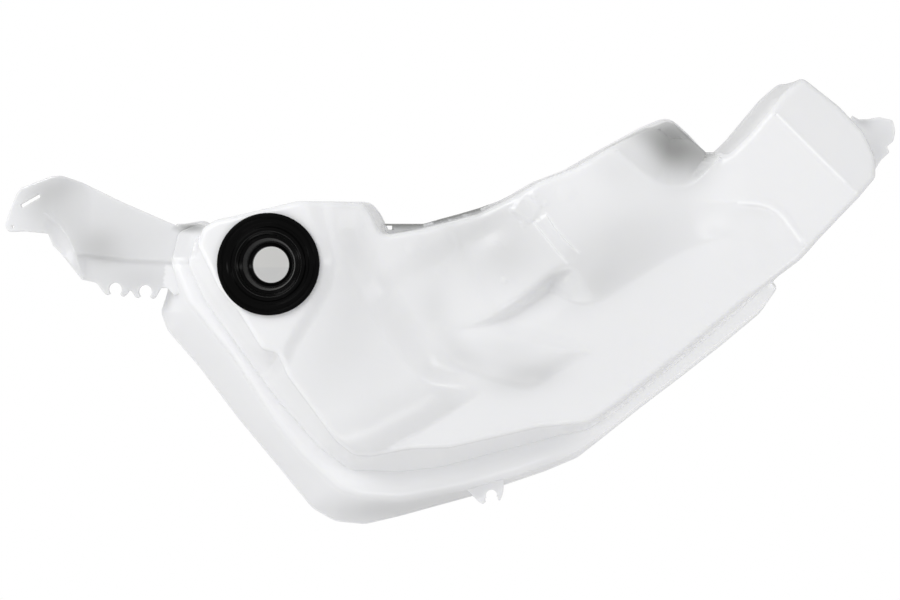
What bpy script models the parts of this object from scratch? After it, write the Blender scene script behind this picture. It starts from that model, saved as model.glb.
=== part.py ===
# Washer fluid reservoir lying on its back: a blow-moulded tank with a rubber filler grommet.
# Outlines are corner points (x, y, corner radius) in millimetres, seen from the front (+Z). They are drawn
# at the drawn size and stretched to the tank's own length and width.

import math

import bmesh
import bpy
import numpy as np
from mathutils import Matrix
from mathutils.geometry import delaunay_2d_cdt

MM = 0.001

# Overall length and width over the bracket arm and the tabs
TANK_LENGTH = 586.8
TANK_WIDTH = 298.3
DRAWN_SIZE = (586.8, 298.3)
STRETCH = (TANK_LENGTH / DRAWN_SIZE[0], TANK_WIDTH / DRAWN_SIZE[1])


def place(x, y, *radius):
    """A place or an outline's corner, moved from the drawn size to the tank's own size."""
    return (x * STRETCH[0], y * STRETCH[1], *radius)



# Heights above the surface that the tank lies on
PARTING_Z = 26.0
RIDGE_Z = 48.0
VALLEY_Z = 49.0
SHELF_Z = 86.0
MIDDLE_Z = 92.0
PLATEAU_Z = 99.5
PAD_Z = 99.0
HILL_Z = 98.0
BLOCK_Z = 104.0
NECK_Z = 108.0
SCOOP_Z = 62.0

# Wall and edges
WALL = 2.2
THIN_WALL = 1.4
PINCH = 3.2
RIDGE_RISE = 3.5
PANEL_EDGE_RADIUS = 5.5
BACK_ROUNDING = 13.0
ON_EDGE = 0.01
LINE_CLEARANCE = 2.0
SEAT_GAP = 0.3
HOLE_CUTTER = 24.0

# Filler hole and its grommet
FILLER_X, FILLER_Y = place(-114.0, 22.5)
FILLER_HOLE_RADIUS = 23.2
FLANGE_RADIUS = 32.2
FLANGE_THICKNESS = 3.0
BEAD_RADIUS = 21.6
BORE_RADIUS = 11.5
FUNNEL_DEPTH = 13.0
LIP_RADIUS = 26.0

# Pump pocket in the back, with the outlet port in its end wall
POCKET_X, POCKET_END_Y = place(-35.0, -72.0)
POCKET_LENGTH = 80.0
POCKET_RADIUS = PARTING_Z - 2.0
POCKET_END_SLOPE = 3.0
PORT_RADIUS = 9.0
PORT_Z = WALL + PORT_RADIUS + 1.8

# Sheets that are pinched flat in the mould
SHEET = 3.0
SHEET_CUTTER = SHEET + 8.0
BRACKET_Z = 46.0
FLANGE_Z = 43.0
CLIP_Z = 44.0
TAB_Z = 60.0
HOSE_RADIUS = 4.4
SMALL_HOSE_RADIUS = 3.7

# Front panel: the lower edge from the neck to the right end, then the upper edge back to the neck
PANEL_LOWER = [
    (-159.5, 35, 8), (-146, 7.5, 20), (-133, -8, 20), (-118.5, -31.5, 8), (-109, -33.5, 5),
    (-103, -48, 20), (-73, -90, 24), (-62, -99.5, 10), (-50.5, -100.5, 10), (-26.5, -96, 24),
    (0, -95, 24), (57, -82, 24), (91, -79, 14), (109, -67, 20), (147.5, -36.5, 30),
    (185.5, -4.5, 30), (205, 11, 12), (221.5, 24.5, 12),
]
PANEL_UPPER = [
    (233.5, 38.5, 20), (256, 62, 20), (271.5, 78, 7), (272.5, 91, 10), (265.5, 108.5, 10),
    (249.5, 125, 20), (225.5, 143.5, 6), (212, 131.5, 12), (189.5, 104.5, 20), (175.5, 91, 5),
    (158, 109.5, 15), (147, 119.5, 8), (131, 113, 12), (101.5, 97, 20), (79, 84, 20),
    (57, 75.5, 15), (43.5, 67.5, 12), (19, 55, 20), (-19, 45, 30), (-43.5, 41, 8),
    (-50.5, 55.5, 6), (-55.5, 62, 6), (-96, 62.5, 12), (-132, 54, 20), (-148, 50.5, 8),
    (-156, 45.5, 5),
]

# The rounded shoulder below the panel: its outer edge and the valley inside it
RIDGE_LOWER = [
    (-185, 25, 8), (-174.5, -2, 12), (-144.5, -38.5, 30), (-116, -83, 30), (-99.5, -103, 20),
    (-74.5, -127, 16), (-59.5, -132, 12), (-33, -134, 20), (10, -126, 24), (46.5, -115.5, 24),
    (74.5, -105, 18), (86, -99.5, 15), (99.5, -90, 20), (126, -69, 30), (152.5, -49, 30),
    (179, -28, 30), (204, -7.5, 20), (216, 6, 7), (213, 13, 5), (223, 22, 12),
]
RIDGE_LEFT = [(-168, 50, 8), (-180, 45, 6)]
VALLEY_LOWER = [
    (-174, 24, 8), (-163, 0, 12), (-137, -36, 30), (-113, -68, 30), (-86.5, -98, 20),
    (-66.5, -113, 10), (-33, -114, 20), (-6.5, -111, 20), (20, -104, 24), (46.5, -97, 24),
    (73, -90, 15), (92, -86, 12), (112, -73, 20), (151, -41.5, 30), (189, -9.5, 30),
    (206, 6, 7), (209, 11.5, 5), (222.5, 22.5, 12),
]
VALLEY_LEFT = [(-160, 46, 6), (-169, 41, 6)]

# The widest outline of the tank, at the parting line
TUB_LOWER = [
    (-191.5, 5, 6), (-196, -8, 8), (-191.5, -20.5, 12), (-169.5, -46, 30), (-142.5, -81.5, 30),
    (-115.5, -114, 30), (-93.5, -141, 18), (-78, -150, 20), (-57.5, -152, 16), (-34, -146.5, 20),
    (15, -133, 24), (64.5, -116, 24), (86, -107, 18), (102, -94.5, 20), (129, -73, 30),
    (156, -52.5, 30), (183.5, -31, 30), (210, -9, 20), (222.5, 9, 8), (217, 13.5, 4),
    (224.5, 20.5, 12),
]
TUB_LEFT = [(-166, 54, 8), (-184, 51, 6), (-190, 28, 12)]

# Raised areas of the front panel, each with the width of the slope that leads up to it
PLATEAU = [
    (-66, 90, 4), (-58, 30, 20), (-50, 4, 30), (-33, -24, 30), (-14, -44, 14), (-12, -58, 8),
    (-33, -71, 14), (-56, -84, 14), (-70, -110, 10), (-220, -110, 4), (-220, 90, 4),
]
PLATEAU_SLOPE = 24.0
MIDDLE = [
    (-36, 80, 4), (-34, 20, 20), (-16, -14, 24), (10, -33, 20), (36, -40, 14), (58, -38, 10),
    (80, -27, 10), (86, -4, 10), (98, 4, 12), (122, 25, 20), (148, 38, 20), (186, 50, 10),
    (186, 140, 10), (60, 140, 4),
]
MIDDLE_SLOPE = 12.0
HILL = [
    (44, 80, 6), (60, 53, 10), (80, 31, 10), (92, 17, 12), (108, 24, 14), (128, 41, 20),
    (150, 54, 16), (170, 62, 16), (184, 72, 10), (184, 150, 10), (60, 150, 10),
]
HILL_SLOPE = 13.0
MIDDLE_PAD = [(44.5, 60, 7), (-3, 21.5, 8), (24.5, -10.5, 8), (71.5, 25.5, 6)]
MIDDLE_PAD_SLOPE = 8.0
BLOCK = [
    (170.5, 83.5, 6), (186, 62, 8), (199, 60, 8), (208, 54, 8), (216, 45, 8), (226, 34, 8),
    (262, 60, 6), (285, 84, 6), (255, 140, 6), (215, 150, 6), (180, 116, 6),
]
BLOCK_SLOPE = 9.0
NECK_PAD = [
    (-90, 70, 4), (-84, 44, 20), (-79, 24, 24), (-82, 8, 24), (-90, -8, 20), (-103, -30, 8),
    (-104, -42, 6), (-140, -42, 6), (-175, 20, 8), (-170, 70, 8),
]
NECK_PAD_SLOPE = 7.0
SCOOP = [
    (156, 130, 8), (149, 108, 10), (148, 92, 8), (153, 86, 6), (160, 90, 8), (166, 96, 6),
    (180, 108, 6),
]
SCOOP_SLOPE = 18.0

# The block's fold to its sloping end face, as a point and an outward direction
END_FOLD = (place(205, 120), (0.717, 0.697))
END_FALL = 0.62
FOLD_ROUNDING = 4.0

# Bracket arm with two hose clips, and its folds
BRACKET = [
    (-287, 71, 3), (-292, 58.5, 3), (-295, 49, 3), (-292.5, 45, 3), (-282, 45.5, 4),
    (-266.5, 44, 1), (-264, 36.5, 3), (-258.5, 30, 4), (-252, 22, 4), (-245.5, 13.5, 2),
    (-236, 11.5, 2), (-230.5, 4, 1), (-228.5, 3, 0), (-226.5, 4.2, 0), (-220.5, 4.2, 0),
    (-218.5, 2, 0), (-216.5, 3, 0), (-213.5, 7, 1), (-210.2, 2.2, 0), (-208.2, 1, 0),
    (-206.5, 2.4, 0), (-200.5, 2.4, 0), (-198.5, 0.5, 0), (-196.5, 1.6, 0), (-193, 8, 1),
    (-189, 8, 1), (-184, 3, 0), (-170, 8, 0), (-165, 30, 0), (-170, 46, 0), (-184.5, 50.5, 2),
    (-219, 65.5, 12), (-245.5, 78.5, 8), (-257.5, 82.5, 6), (-264, 82, 6), (-284, 74.5, 3),
]
HOSE_CLIPS = [place(-223.5, 7.2), place(-203.5, 5.6)]
TAB_PIN = place(-289.5, 48.5)
TAB_PIN_RADIUS = 1.0
BRACKET_SLOT = [(-283.5, 62.6, 0.8), (-282.4, 60.8, 0.8), (-272, 67.4, 0.8), (-272.8, 69.4, 0.8)]
FOLD_RIDGE = [place(-268, 58), place(-258.5, 49.5), place(-253.5, 42), place(-250, 34.5), place(-244, 12)]
FOLD_STEP = [place(-247, 31), place(-215.5, 27), place(-170, 25)]
TAB_RISE = 6.0
TAB_FOLD_X = place(-238.0, 0.0)[0]
TAB_FOLD_WIDTH = 26.0
FACET_X = place(-270.0, 0.0)[0]
FACET_FALL = 0.75
FACET_WIDTH = 16.0
STEP_DROP = 4.0
STEP_WIDTH = 5.0
STEP_X = place(-252.0, 0.0)[0]

# Flange along the upper edge, with its slot
TOP_FLANGE = [
    (-182.5, 40, 0), (-150, 40, 0), (-60, 36, 0), (-20, 38, 0), (20, 48, 0), (48, 62, 0),
    (48, 72.5, 0), (33.5, 66.5, 12), (20, 61.5, 12), (6.5, 57.5, 12), (-6.5, 54, 12),
    (-17.5, 50.8, 8), (-182.5, 50.8, 1),
]
FLANGE_SLOT = [(-47, 49.6, 0.8), (-47, 46.8, 0.8), (-38.5, 46.8, 0.8), (-38.5, 49.6, 0.8)]

# Hose clip under the lower edge and the tab at the right end
BOTTOM_CLIP = [
    (10, -120, 0), (10.5, -126, 2), (20, -135, 1), (22.2, -136, 0.6), (24.2, -134.2, 0.6),
    (23.4, -131.6, 0), (32.2, -131.2, 0), (32, -133.6, 0.6), (33.8, -133.4, 0.6), (35.5, -127.5, 2),
    (36.5, -112, 0),
]
BOTTOM_HOSE = place(27.6, -130.0)
RIGHT_TAB = [
    (258, 108, 0), (264, 121, 0), (268, 118.5, 1), (273.5, 118.6, 3), (281.5, 120, 5),
    (290.5, 118, 2), (292.2, 111, 3), (291, 104.5, 3), (286.5, 100.5, 1.5), (288.5, 97, 1.5),
    (282.5, 91.5, 3), (278, 84, 1), (265, 84, 0),
]


def arc_path(corners, step):
    """Points along a closed outline with rounded corners, about one step apart, counter-clockwise."""
    points = []
    count = len(corners)
    corners = [place(*corner) for corner in corners]
    area = sum(a[0] * b[1] - b[0] * a[1] for a, b in zip(corners, corners[1:] + corners[:1]))
    if area < 0:
        corners = corners[::-1]
    for index in range(count):
        before = np.array(corners[index - 1][:2], float)
        corner = np.array(corners[index][:2], float)
        after = np.array(corners[(index + 1) % count][:2], float)
        back = before - corner
        ahead = after - corner
        back_length = np.linalg.norm(back)
        ahead_length = np.linalg.norm(ahead)
        back /= back_length
        ahead /= ahead_length
        half = math.acos(max(-1.0, min(1.0, float(back @ ahead)))) / 2
        radius = corners[index][2]
        reach = radius / math.tan(half) if half < math.pi / 2 - 1e-4 else 0.0
        limit = 0.49 * min(back_length, ahead_length)
        if reach > limit:
            reach = limit
            radius = reach * math.tan(half)
        if reach < 0.05:
            points.append(corner)
            continue
        sweep = math.pi - 2 * half
        pieces = max(1, math.ceil(radius * sweep / step), math.ceil(sweep / math.radians(30)))
        start = corner + back * reach
        end = corner + ahead * reach
        for piece in range(pieces + 1):
            t = piece / pieces
            # a quadratic curve through the corner's tangents, close to the arc
            points.append((1 - t) ** 2 * start + 2 * t * (1 - t) * corner + t * t * end)
    filled = []
    for index, point in enumerate(points):
        following = points[(index + 1) % len(points)]
        length = np.linalg.norm(following - point)
        if length < 0.02:
            continue
        pieces = max(1, round(length / step))
        for piece in range(pieces):
            filled.append(point + (following - point) * piece / pieces)
    return np.array(filled)


def spread(corners, distance):
    """The same open run of corners moved outwards by a distance."""
    moved = []
    for index, (x, y, radius) in enumerate(corners):
        before = np.array(corners[max(index - 1, 0)][:2], float)
        here = np.array((x, y), float)
        after = np.array(corners[min(index + 1, len(corners) - 1)][:2], float)
        normals = []
        for a, b in ((before, here), (here, after)):
            run = b - a
            length = np.linalg.norm(run)
            if length > 0:
                normals.append(np.array((run[1], -run[0])) / length)
        normal = sum(normals)
        normal /= np.linalg.norm(normal)
        stretch = 1 / max(0.5, float(normal @ normals[0]))
        turn = (here - before)[0] * (after - here)[1] - (here - before)[1] * (after - here)[0]
        place = here + normal * distance * stretch
        moved.append((place[0], place[1], max(1.0, radius + math.copysign(distance, turn))))
    return moved


def inside_distance(path, points):
    """Distance of each point from a closed path, positive inside."""
    points = np.asarray(points, float)
    result = np.empty(len(points))
    starts = path
    ends = np.roll(path, -1, axis=0)
    runs = ends - starts
    lengths = (runs ** 2).sum(1)
    for low in range(0, len(points), 2000):
        batch = points[low:low + 2000]
        to_point = batch[:, None, :] - starts[None]
        share = np.clip((to_point * runs).sum(2) / lengths, 0, 1)
        gap = to_point - share[..., None] * runs
        nearest = np.sqrt((gap ** 2).sum(2)).min(1)
        above = (starts[None, :, 1] > batch[:, 1:2]) != (ends[None, :, 1] > batch[:, 1:2])
        rise = np.where(runs[:, 1] == 0, 1e-9, runs[:, 1])
        crossing = starts[:, 0] + (batch[:, 1:2] - starts[:, 1]) / rise * runs[:, 0]
        crossings = (above & (batch[:, 0:1] < crossing)).sum(1)
        result[low:low + 2000] = np.where(crossings % 2 == 1, nearest, -nearest)
    return result


def smooth(t):
    t = np.clip(t, 0, 1)
    return t * t * (3 - 2 * t)


def soft_positive(value, width):
    """The value where it is positive and zero elsewhere, with a rounded turn."""
    return (value + np.sqrt(value ** 2 + width ** 2)) / 2


def beyond(points, fold):
    (x, y), (across, up) = fold
    return (points[:, 0] - x) * across + (points[:, 1] - y) * up


PATH_STEP = 4.0
OUTLINES = {
    "panel": arc_path(PANEL_LOWER + PANEL_UPPER, PATH_STEP),
    "valley": arc_path(VALLEY_LOWER + spread(PANEL_UPPER, 1.5) + VALLEY_LEFT, PATH_STEP),
    "ridge": arc_path(RIDGE_LOWER + spread(PANEL_UPPER, 3.0) + RIDGE_LEFT, PATH_STEP),
    "tub": arc_path(TUB_LOWER + spread(PANEL_UPPER, 4.5) + TUB_LEFT, PATH_STEP),
}
RAISED = {
    "plateau": (arc_path(PLATEAU, PATH_STEP), PLATEAU_SLOPE, PLATEAU_Z),
    "middle": (arc_path(MIDDLE, PATH_STEP), MIDDLE_SLOPE, MIDDLE_Z),
    "hill": (arc_path(HILL, PATH_STEP), HILL_SLOPE, HILL_Z),
    "middle_pad": (arc_path(MIDDLE_PAD, PATH_STEP), MIDDLE_PAD_SLOPE, PAD_Z),
    "block": (arc_path(BLOCK, PATH_STEP), BLOCK_SLOPE, BLOCK_Z),
    "neck_pad": (arc_path(NECK_PAD, PATH_STEP), NECK_PAD_SLOPE, NECK_Z),
    "scoop": (arc_path(SCOOP, PATH_STEP), SCOOP_SLOPE, SCOOP_Z),
}


def panel_height(points):
    """Height of the front panel: the shelf, with each raised area blended in over its slope."""
    height = np.full(len(points), SHELF_Z)
    for name, (path, slope, top) in RAISED.items():
        level = np.full(len(points), top)
        if name == "middle":
            # the plateau beside it stays higher
            level = np.maximum(height, top)
        if name == "block":
            level -= END_FALL * soft_positive(beyond(points, END_FOLD), FOLD_ROUNDING)
        height += (level - height) * smooth(1 + inside_distance(path, points) / slope)
    return height


def front_height(points):
    points = np.asarray(points, float)
    tub = inside_distance(OUTLINES["tub"], points)
    ridge = inside_distance(OUTLINES["ridge"], points)
    valley = inside_distance(OUTLINES["valley"], points)
    panel = inside_distance(OUTLINES["panel"], points)
    round_in = 1 - np.clip(panel / PANEL_EDGE_RADIUS, 0, 1)
    top = panel_height(points) - PANEL_EDGE_RADIUS * (1 - np.sqrt(1 - round_in ** 2))
    share = np.clip(valley / np.maximum(valley - panel, 1e-6), 0, 1)
    wall = VALLEY_Z + (top - VALLEY_Z) * share
    width = np.maximum(ridge - valley, 1e-6)
    across = np.clip(ridge / width, 0, 1)
    swell = RIDGE_RISE * np.minimum(width / 8, 1) * np.sin(math.pi * across ** 0.8)
    shoulder = RIDGE_Z + (VALLEY_Z - RIDGE_Z) * across + swell
    out = np.clip(tub / np.maximum(tub - ridge, 1e-6), 0, 1)
    side = PARTING_Z + (RIDGE_Z - PARTING_Z) * out * (1.3 - 0.3 * out)
    height = np.where(panel >= 0, top, np.where(valley >= 0, wall, np.where(ridge >= 0, shoulder, side)))
    return np.where(tub >= 0, height, PARTING_Z)


def back_height(points):
    points = np.asarray(points, float)
    tub = inside_distance(OUTLINES["tub"], points)
    reach = 1 - np.clip(tub / BACK_ROUNDING, 0, 1)
    height = PARTING_Z * (1 - np.sqrt(1 - reach ** 2))
    across = points[:, 0] - POCKET_X
    pocket = np.sqrt(np.maximum(POCKET_RADIUS ** 2 - across ** 2, 0))
    pocket *= smooth((POCKET_END_Y - points[:, 1]) / POCKET_END_SLOPE + 0.5)
    return np.where(tub >= 0, np.maximum(height, pocket), PARTING_Z)


def crosses(a, b, c, d):
    """Whether the run from a to b crosses the run from c to d."""
    def turn(p, q, r):
        return (q[0] - p[0]) * (r[1] - p[1]) - (q[1] - p[1]) * (r[0] - p[0])
    return turn(a, b, c) * turn(a, b, d) < 0 and turn(c, d, a) * turn(c, d, b) < 0


def uncross(path):
    """The closed path without short loops over itself."""
    points = [tuple(p) for p in path]
    index = 0
    while index < len(points):
        count = len(points)
        start, end = points[index], points[(index + 1) % count]
        for ahead in range(12, 1, -1):
            first, second = points[(index + ahead) % count], points[(index + ahead + 1) % count]
            if count > 24 and crosses(start, end, first, second):
                dropped = {(index + step) % count for step in range(1, ahead + 1)}
                points = [p for place, p in enumerate(points) if place not in dropped]
                break
        index += 1
    return np.array(points)


def offset_path(path, distance):
    """The closed path moved inwards, without the loops that this makes in tight bends."""
    ahead = np.roll(path, -1, axis=0) - np.roll(path, 1, axis=0)
    inward = np.stack((-ahead[:, 1], ahead[:, 0]), 1) / np.linalg.norm(ahead, axis=1)[:, None]
    moved = path + inward * distance
    return uncross(moved[np.abs(inside_distance(path, moved)) > abs(distance) - 0.15])


def resample(path, step):
    """Fewer points on a closed path: those about one step apart, and those where it bends."""
    kept = [path[0]]
    for index in range(1, len(path)):
        run = np.linalg.norm(path[index] - kept[-1])
        before = path[index] - path[index - 1]
        after = path[(index + 1) % len(path)] - path[index]
        turn = abs(math.atan2(before[0] * after[1] - before[1] * after[0], float(before @ after)))
        if run >= step or turn > math.radians(14) and run > step / 4:
            kept.append(path[index])
    return np.array(kept)


def blunt(path):
    """The closed path without the corners that turn by more than 50 degrees."""
    ahead = np.roll(path, -1, axis=0) - path
    behind = path - np.roll(path, 1, axis=0)
    cosine = (ahead * behind).sum(1) / np.linalg.norm(ahead, axis=1) / np.linalg.norm(behind, axis=1)
    return path[cosine > math.cos(math.radians(50))]


def is_closed(line):
    """Whether a line's ends are no further apart than its longest run."""
    runs = np.linalg.norm(np.diff(line, axis=0), axis=1)
    return np.linalg.norm(line[0] - line[-1]) <= runs.max() * 1.5


def plan_mesh(rings, lines, bounds_path, spacing):
    """Triangles over a plan: closed rings, loose lines of points and a filling of points between."""
    points = []
    edges = []
    for ring in rings:
        first = len(points)
        points.extend(ring)
        count = len(ring)
        edges.extend((first + i, first + (i + 1) % count) for i in range(count))

    def is_free(candidates, clear):
        current = np.array(points)
        return np.array([((current - p) ** 2).sum(1).min() > clear ** 2 for p in candidates], bool)

    for line in lines:
        kept = (inside_distance(bounds_path, line) > LINE_CLEARANCE) & is_free(line, LINE_CLEARANCE)
        places = {}
        for index in np.flatnonzero(kept):
            places[index] = len(points)
            points.append(line[index])
        edges.extend((places[i], places[i + 1]) for i in places if i + 1 in places)
        if len(line) > 2 and 0 in places and len(line) - 1 in places and is_closed(line):
            edges.append((places[len(line) - 1], places[0]))
    low = bounds_path.min(0)
    high = bounds_path.max(0)
    row_height = spacing * math.sqrt(3) / 2
    grid = []
    for row in range(int((high[1] - low[1]) / row_height) + 1):
        shift = spacing / 2 if row % 2 else 0.0
        for column in range(int((high[0] - low[0]) / spacing) + 1):
            grid.append((low[0] + shift + column * spacing, low[1] + row * row_height))
    grid = np.array(grid)
    grid = grid[inside_distance(bounds_path, grid) > spacing * 0.45]
    points.extend(grid[is_free(grid, spacing * 0.62)])
    result = delaunay_2d_cdt([tuple(map(float, p)) for p in points], edges, [], 1, 1e-4)
    flat = np.array([tuple(p) for p in result[0]])
    faces = np.array([f for f in result[2] if len(f) == 3])
    middles = flat[faces].mean(1)
    return flat, faces[inside_distance(bounds_path, middles) > 0]


def keep_wall(flat, faces, z, surface, outward):
    """Move corners away from the surface until every triangle leaves at least a thin wall."""
    shares = [(a / 4, b / 4, 1 - (a + b) / 4) for a in range(5) for b in range(5 - a)]
    corners = flat[faces]
    for _ in range(2):
        lack = np.zeros(len(z))
        for share in shares:
            points = np.einsum("ijk,j->ik", corners, share)
            wall = (surface(points) - z[faces] @ np.array(share)) * outward
            for corner in range(3):
                np.maximum.at(lack, faces[:, corner], THIN_WALL - wall)
        z = z - lack * outward
    return z


def closed_mesh(name, rings, lines, spacing, back_rings, back_lines, back_spacing, front, back, hollow=False):
    """A closed mesh between a front and a back height over the same outer ring, the first one."""
    bm = bmesh.new()
    for plan_rings, plan_lines, step, height, upward in (
        (rings, lines, spacing, front, True),
        (back_rings, back_lines, back_spacing, back, False),
    ):
        flat, faces = plan_mesh(plan_rings, plan_lines, plan_rings[0], step)
        on_rim = np.abs(inside_distance(plan_rings[0], flat)) < ON_EDGE
        z = height(flat)
        if hollow:
            z = keep_wall(flat, faces, z, front_height if upward else back_height, 1 if upward else -1)
        z = np.where(on_rim, PARTING_Z, z)
        verts = [bm.verts.new((x * MM, y * MM, h * MM)) for (x, y), h in zip(flat, z)]
        for a, b, c in faces:
            corners = flat[[a, b, c]]
            spin = np.cross(corners[1] - corners[0], corners[2] - corners[0])
            order = (a, b, c) if (spin > 0) == upward else (a, c, b)
            bm.faces.new([verts[i] for i in order])
    bmesh.ops.remove_doubles(bm, verts=bm.verts, dist=1e-5)
    loose = [v for v in bm.verts if not v.link_faces]
    bmesh.ops.delete(bm, geom=loose, context="VERTS")
    bmesh.ops.recalc_face_normals(bm, faces=bm.faces)
    mesh = bpy.data.meshes.new(name)
    bm.to_mesh(mesh)
    bm.free()
    return mesh


def feature_lines(step, inset):
    """Lines of points along the top and the foot of each raised area, moved in where a wall is taken off."""
    lines = []
    for name, (path, slope, top) in RAISED.items():
        shift = -inset if name == "scoop" else inset
        for share in (0.0, 0.5, 1.0):
            lines.append(resample(offset_path(path, shift - slope * share), step))
    block = RAISED["block"][0]
    reach = max(block.max(0) - block.min(0)) / 2
    (x, y), (across, up) = END_FOLD
    for shift in (0.0, FOLD_ROUNDING):
        runs = np.arange(-reach, reach, step)
        line = np.array([(x + up * t + across * shift, y - across * t + up * shift) for t in runs])
        lines.append(line[inside_distance(block, line) > 0])
    return lines


def pocket_lines(step):
    lines = []
    for share in (-1.0, -0.92, -0.7, -0.35, 0.0, 0.35, 0.7, 0.92, 1.0):
        rows = np.arange(POCKET_END_Y - POCKET_LENGTH, POCKET_END_Y - POCKET_END_SLOPE, step)
        lines.append(np.array([(POCKET_X + share * POCKET_RADIUS, y) for y in rows]))
    for y in (POCKET_END_Y - POCKET_END_SLOPE / 2, POCKET_END_Y + POCKET_END_SLOPE / 2):
        columns = np.linspace(-1, 1, 9) * POCKET_RADIUS
        lines.append(np.array([(POCKET_X + x, y) for x in columns]))
    return lines


def body_mesh():
    step = 9.0
    outer = resample(OUTLINES["tub"], step)
    rings = [
        outer,
        resample(OUTLINES["ridge"], step),
        resample(OUTLINES["valley"], step),
        resample(OUTLINES["panel"], step),
    ]
    lines = [
        resample(offset_path(OUTLINES["ridge"], 4.0), step),
        resample(offset_path(OUTLINES["panel"], PANEL_EDGE_RADIUS * 0.38), step),
        resample(offset_path(OUTLINES["panel"], PANEL_EDGE_RADIUS), step),
    ] + feature_lines(step, 0.0)
    back_rings = [outer]
    back_lines = [
        resample(offset_path(OUTLINES["tub"], BACK_ROUNDING * share), step * 1.2)
        for share in (0.08, 0.35, 0.7, 1.0)
    ] + pocket_lines(step)
    return closed_mesh("tank", rings, lines, step + 4, back_rings, back_lines, 22.0, front_height, back_height)


def inner_heights():
    """Front and back heights of the cavity: the body less a ball of the wall's thickness."""
    moves = [(0.0, 0.0)]
    for reach, count in ((0.5, 6), (0.87, 8), (0.995, 12)):
        moves += [
            (WALL * reach * math.cos(2 * math.pi * i / count), WALL * reach * math.sin(2 * math.pi * i / count))
            for i in range(count)
        ]

    def front(points):
        points = np.asarray(points, float)
        heights = [front_height(points + move) - math.sqrt(WALL ** 2 - move[0] ** 2 - move[1] ** 2)
                   for move in moves]
        return np.min(heights, axis=0)

    def back(points):
        points = np.asarray(points, float)
        heights = [back_height(points + move) + math.sqrt(WALL ** 2 - move[0] ** 2 - move[1] ** 2)
                   for move in moves]
        return np.max(heights, axis=0)

    return front, back


def cavity_mesh():
    step = 11.0
    outer = blunt(resample(offset_path(OUTLINES["tub"], PINCH), step))
    rings = [outer]
    lines = [
        resample(OUTLINES["valley"], step),
        resample(offset_path(OUTLINES["valley"], WALL + 0.4), step),
        resample(offset_path(OUTLINES["panel"], WALL), step),
        resample(offset_path(OUTLINES["ridge"], WALL), step),
        resample(offset_path(OUTLINES["ridge"], WALL + 4), step),
        resample(offset_path(OUTLINES["panel"], PANEL_EDGE_RADIUS * 0.4 + WALL), step),
        resample(offset_path(OUTLINES["panel"], PANEL_EDGE_RADIUS + WALL), step),
    ] + feature_lines(step, WALL * 0.7)
    back_lines = [
        resample(offset_path(OUTLINES["tub"], PINCH + BACK_ROUNDING * share), step)
        for share in (0.15, 0.5, 0.9)
    ] + pocket_lines(step)
    front, back = inner_heights()
    return closed_mesh("cavity", rings, lines, step + 5, rings, back_lines, 26.0, front, back, hollow=True)


def near_line(line, points):
    """Distance of each point from an open line, positive on its left side."""
    line = np.array(line, float)
    best = np.full(len(points), 1e9)
    side = np.zeros(len(points))
    for start, end in zip(line[:-1], line[1:]):
        run = end - start
        to_point = points - start
        share = np.clip((to_point @ run) / (run @ run), 0, 1)
        gap = to_point - share[:, None] * run
        distance = np.linalg.norm(gap, axis=1)
        turn = run[0] * to_point[:, 1] - run[1] * to_point[:, 0]
        closer = distance < best
        best = np.where(closer, distance, best)
        side = np.where(closer, np.sign(turn), side)
    return best * side


def bracket_height(points):
    points = np.asarray(points, float)
    height = BRACKET_Z + TAB_RISE * smooth((TAB_FOLD_X - points[:, 0]) / TAB_FOLD_WIDTH)
    # the facet at the lower left ends short of the tab, which stays flat
    facet = soft_positive(-near_line(FOLD_RIDGE, points), 1.5)
    facet *= smooth((points[:, 0] - FACET_X) / FACET_WIDTH)
    height -= FACET_FALL * np.minimum(facet, FACET_WIDTH)
    step = smooth(-near_line(FOLD_STEP, points) / STEP_WIDTH + 0.3)
    return height - STEP_DROP * step * smooth((points[:, 0] - STEP_X) / STEP_WIDTH / 2)


def level_at(z):
    """The height function of a flat sheet."""
    def height(points):
        return np.full(len(points), z)
    return height


def sheet_mesh(name, corners, height, thickness, lines, spacing, step):
    """A flat or folded sheet: its outline with a front height and the same less the thickness."""
    outline = resample(arc_path(corners, step), step)
    flat, faces = plan_mesh([outline], lines, outline, spacing)
    top = height(flat)
    bm = bmesh.new()
    upper = [bm.verts.new((x * MM, y * MM, z * MM)) for (x, y), z in zip(flat, top)]
    for a, b, c in faces:
        bm.faces.new((upper[a], upper[b], upper[c]))
    bmesh.ops.recalc_face_normals(bm, faces=bm.faces)
    bm.normal_update()
    if sum(face.normal.z for face in bm.faces) < 0:
        bmesh.ops.reverse_faces(bm, faces=bm.faces)
    grown = bmesh.ops.extrude_face_region(bm, geom=bm.faces[:])
    for item in grown["geom"]:
        if isinstance(item, bmesh.types.BMVert):
            item.co.z -= thickness * MM
    loose = [v for v in bm.verts if not v.link_faces]
    bmesh.ops.delete(bm, geom=loose, context="VERTS")
    bmesh.ops.recalc_face_normals(bm, faces=bm.faces)
    mesh = bpy.data.meshes.new(name)
    bm.to_mesh(mesh)
    bm.free()
    return mesh


def add_object(name, mesh, collection):
    thing = bpy.data.objects.new(name, mesh)
    collection.objects.link(thing)
    return thing


def add_cylinder(name, radius, centre, length, along, collection, sides=48):
    bpy.ops.mesh.primitive_cylinder_add(vertices=sides, radius=radius * MM, depth=length * MM)
    thing = bpy.context.active_object
    thing.name = name
    thing.data.name = name
    turn = Matrix.Rotation(math.pi / 2, 4, "X") if along == "y" else Matrix.Identity(4)
    thing.data.transform(Matrix.Translation([c * MM for c in centre]) @ turn)
    for other in thing.users_collection:
        other.objects.unlink(thing)
    collection.objects.link(thing)
    return thing


def hide_cutter(thing):
    thing.hide_render = True
    thing.display_type = "WIRE"
    return thing


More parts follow.
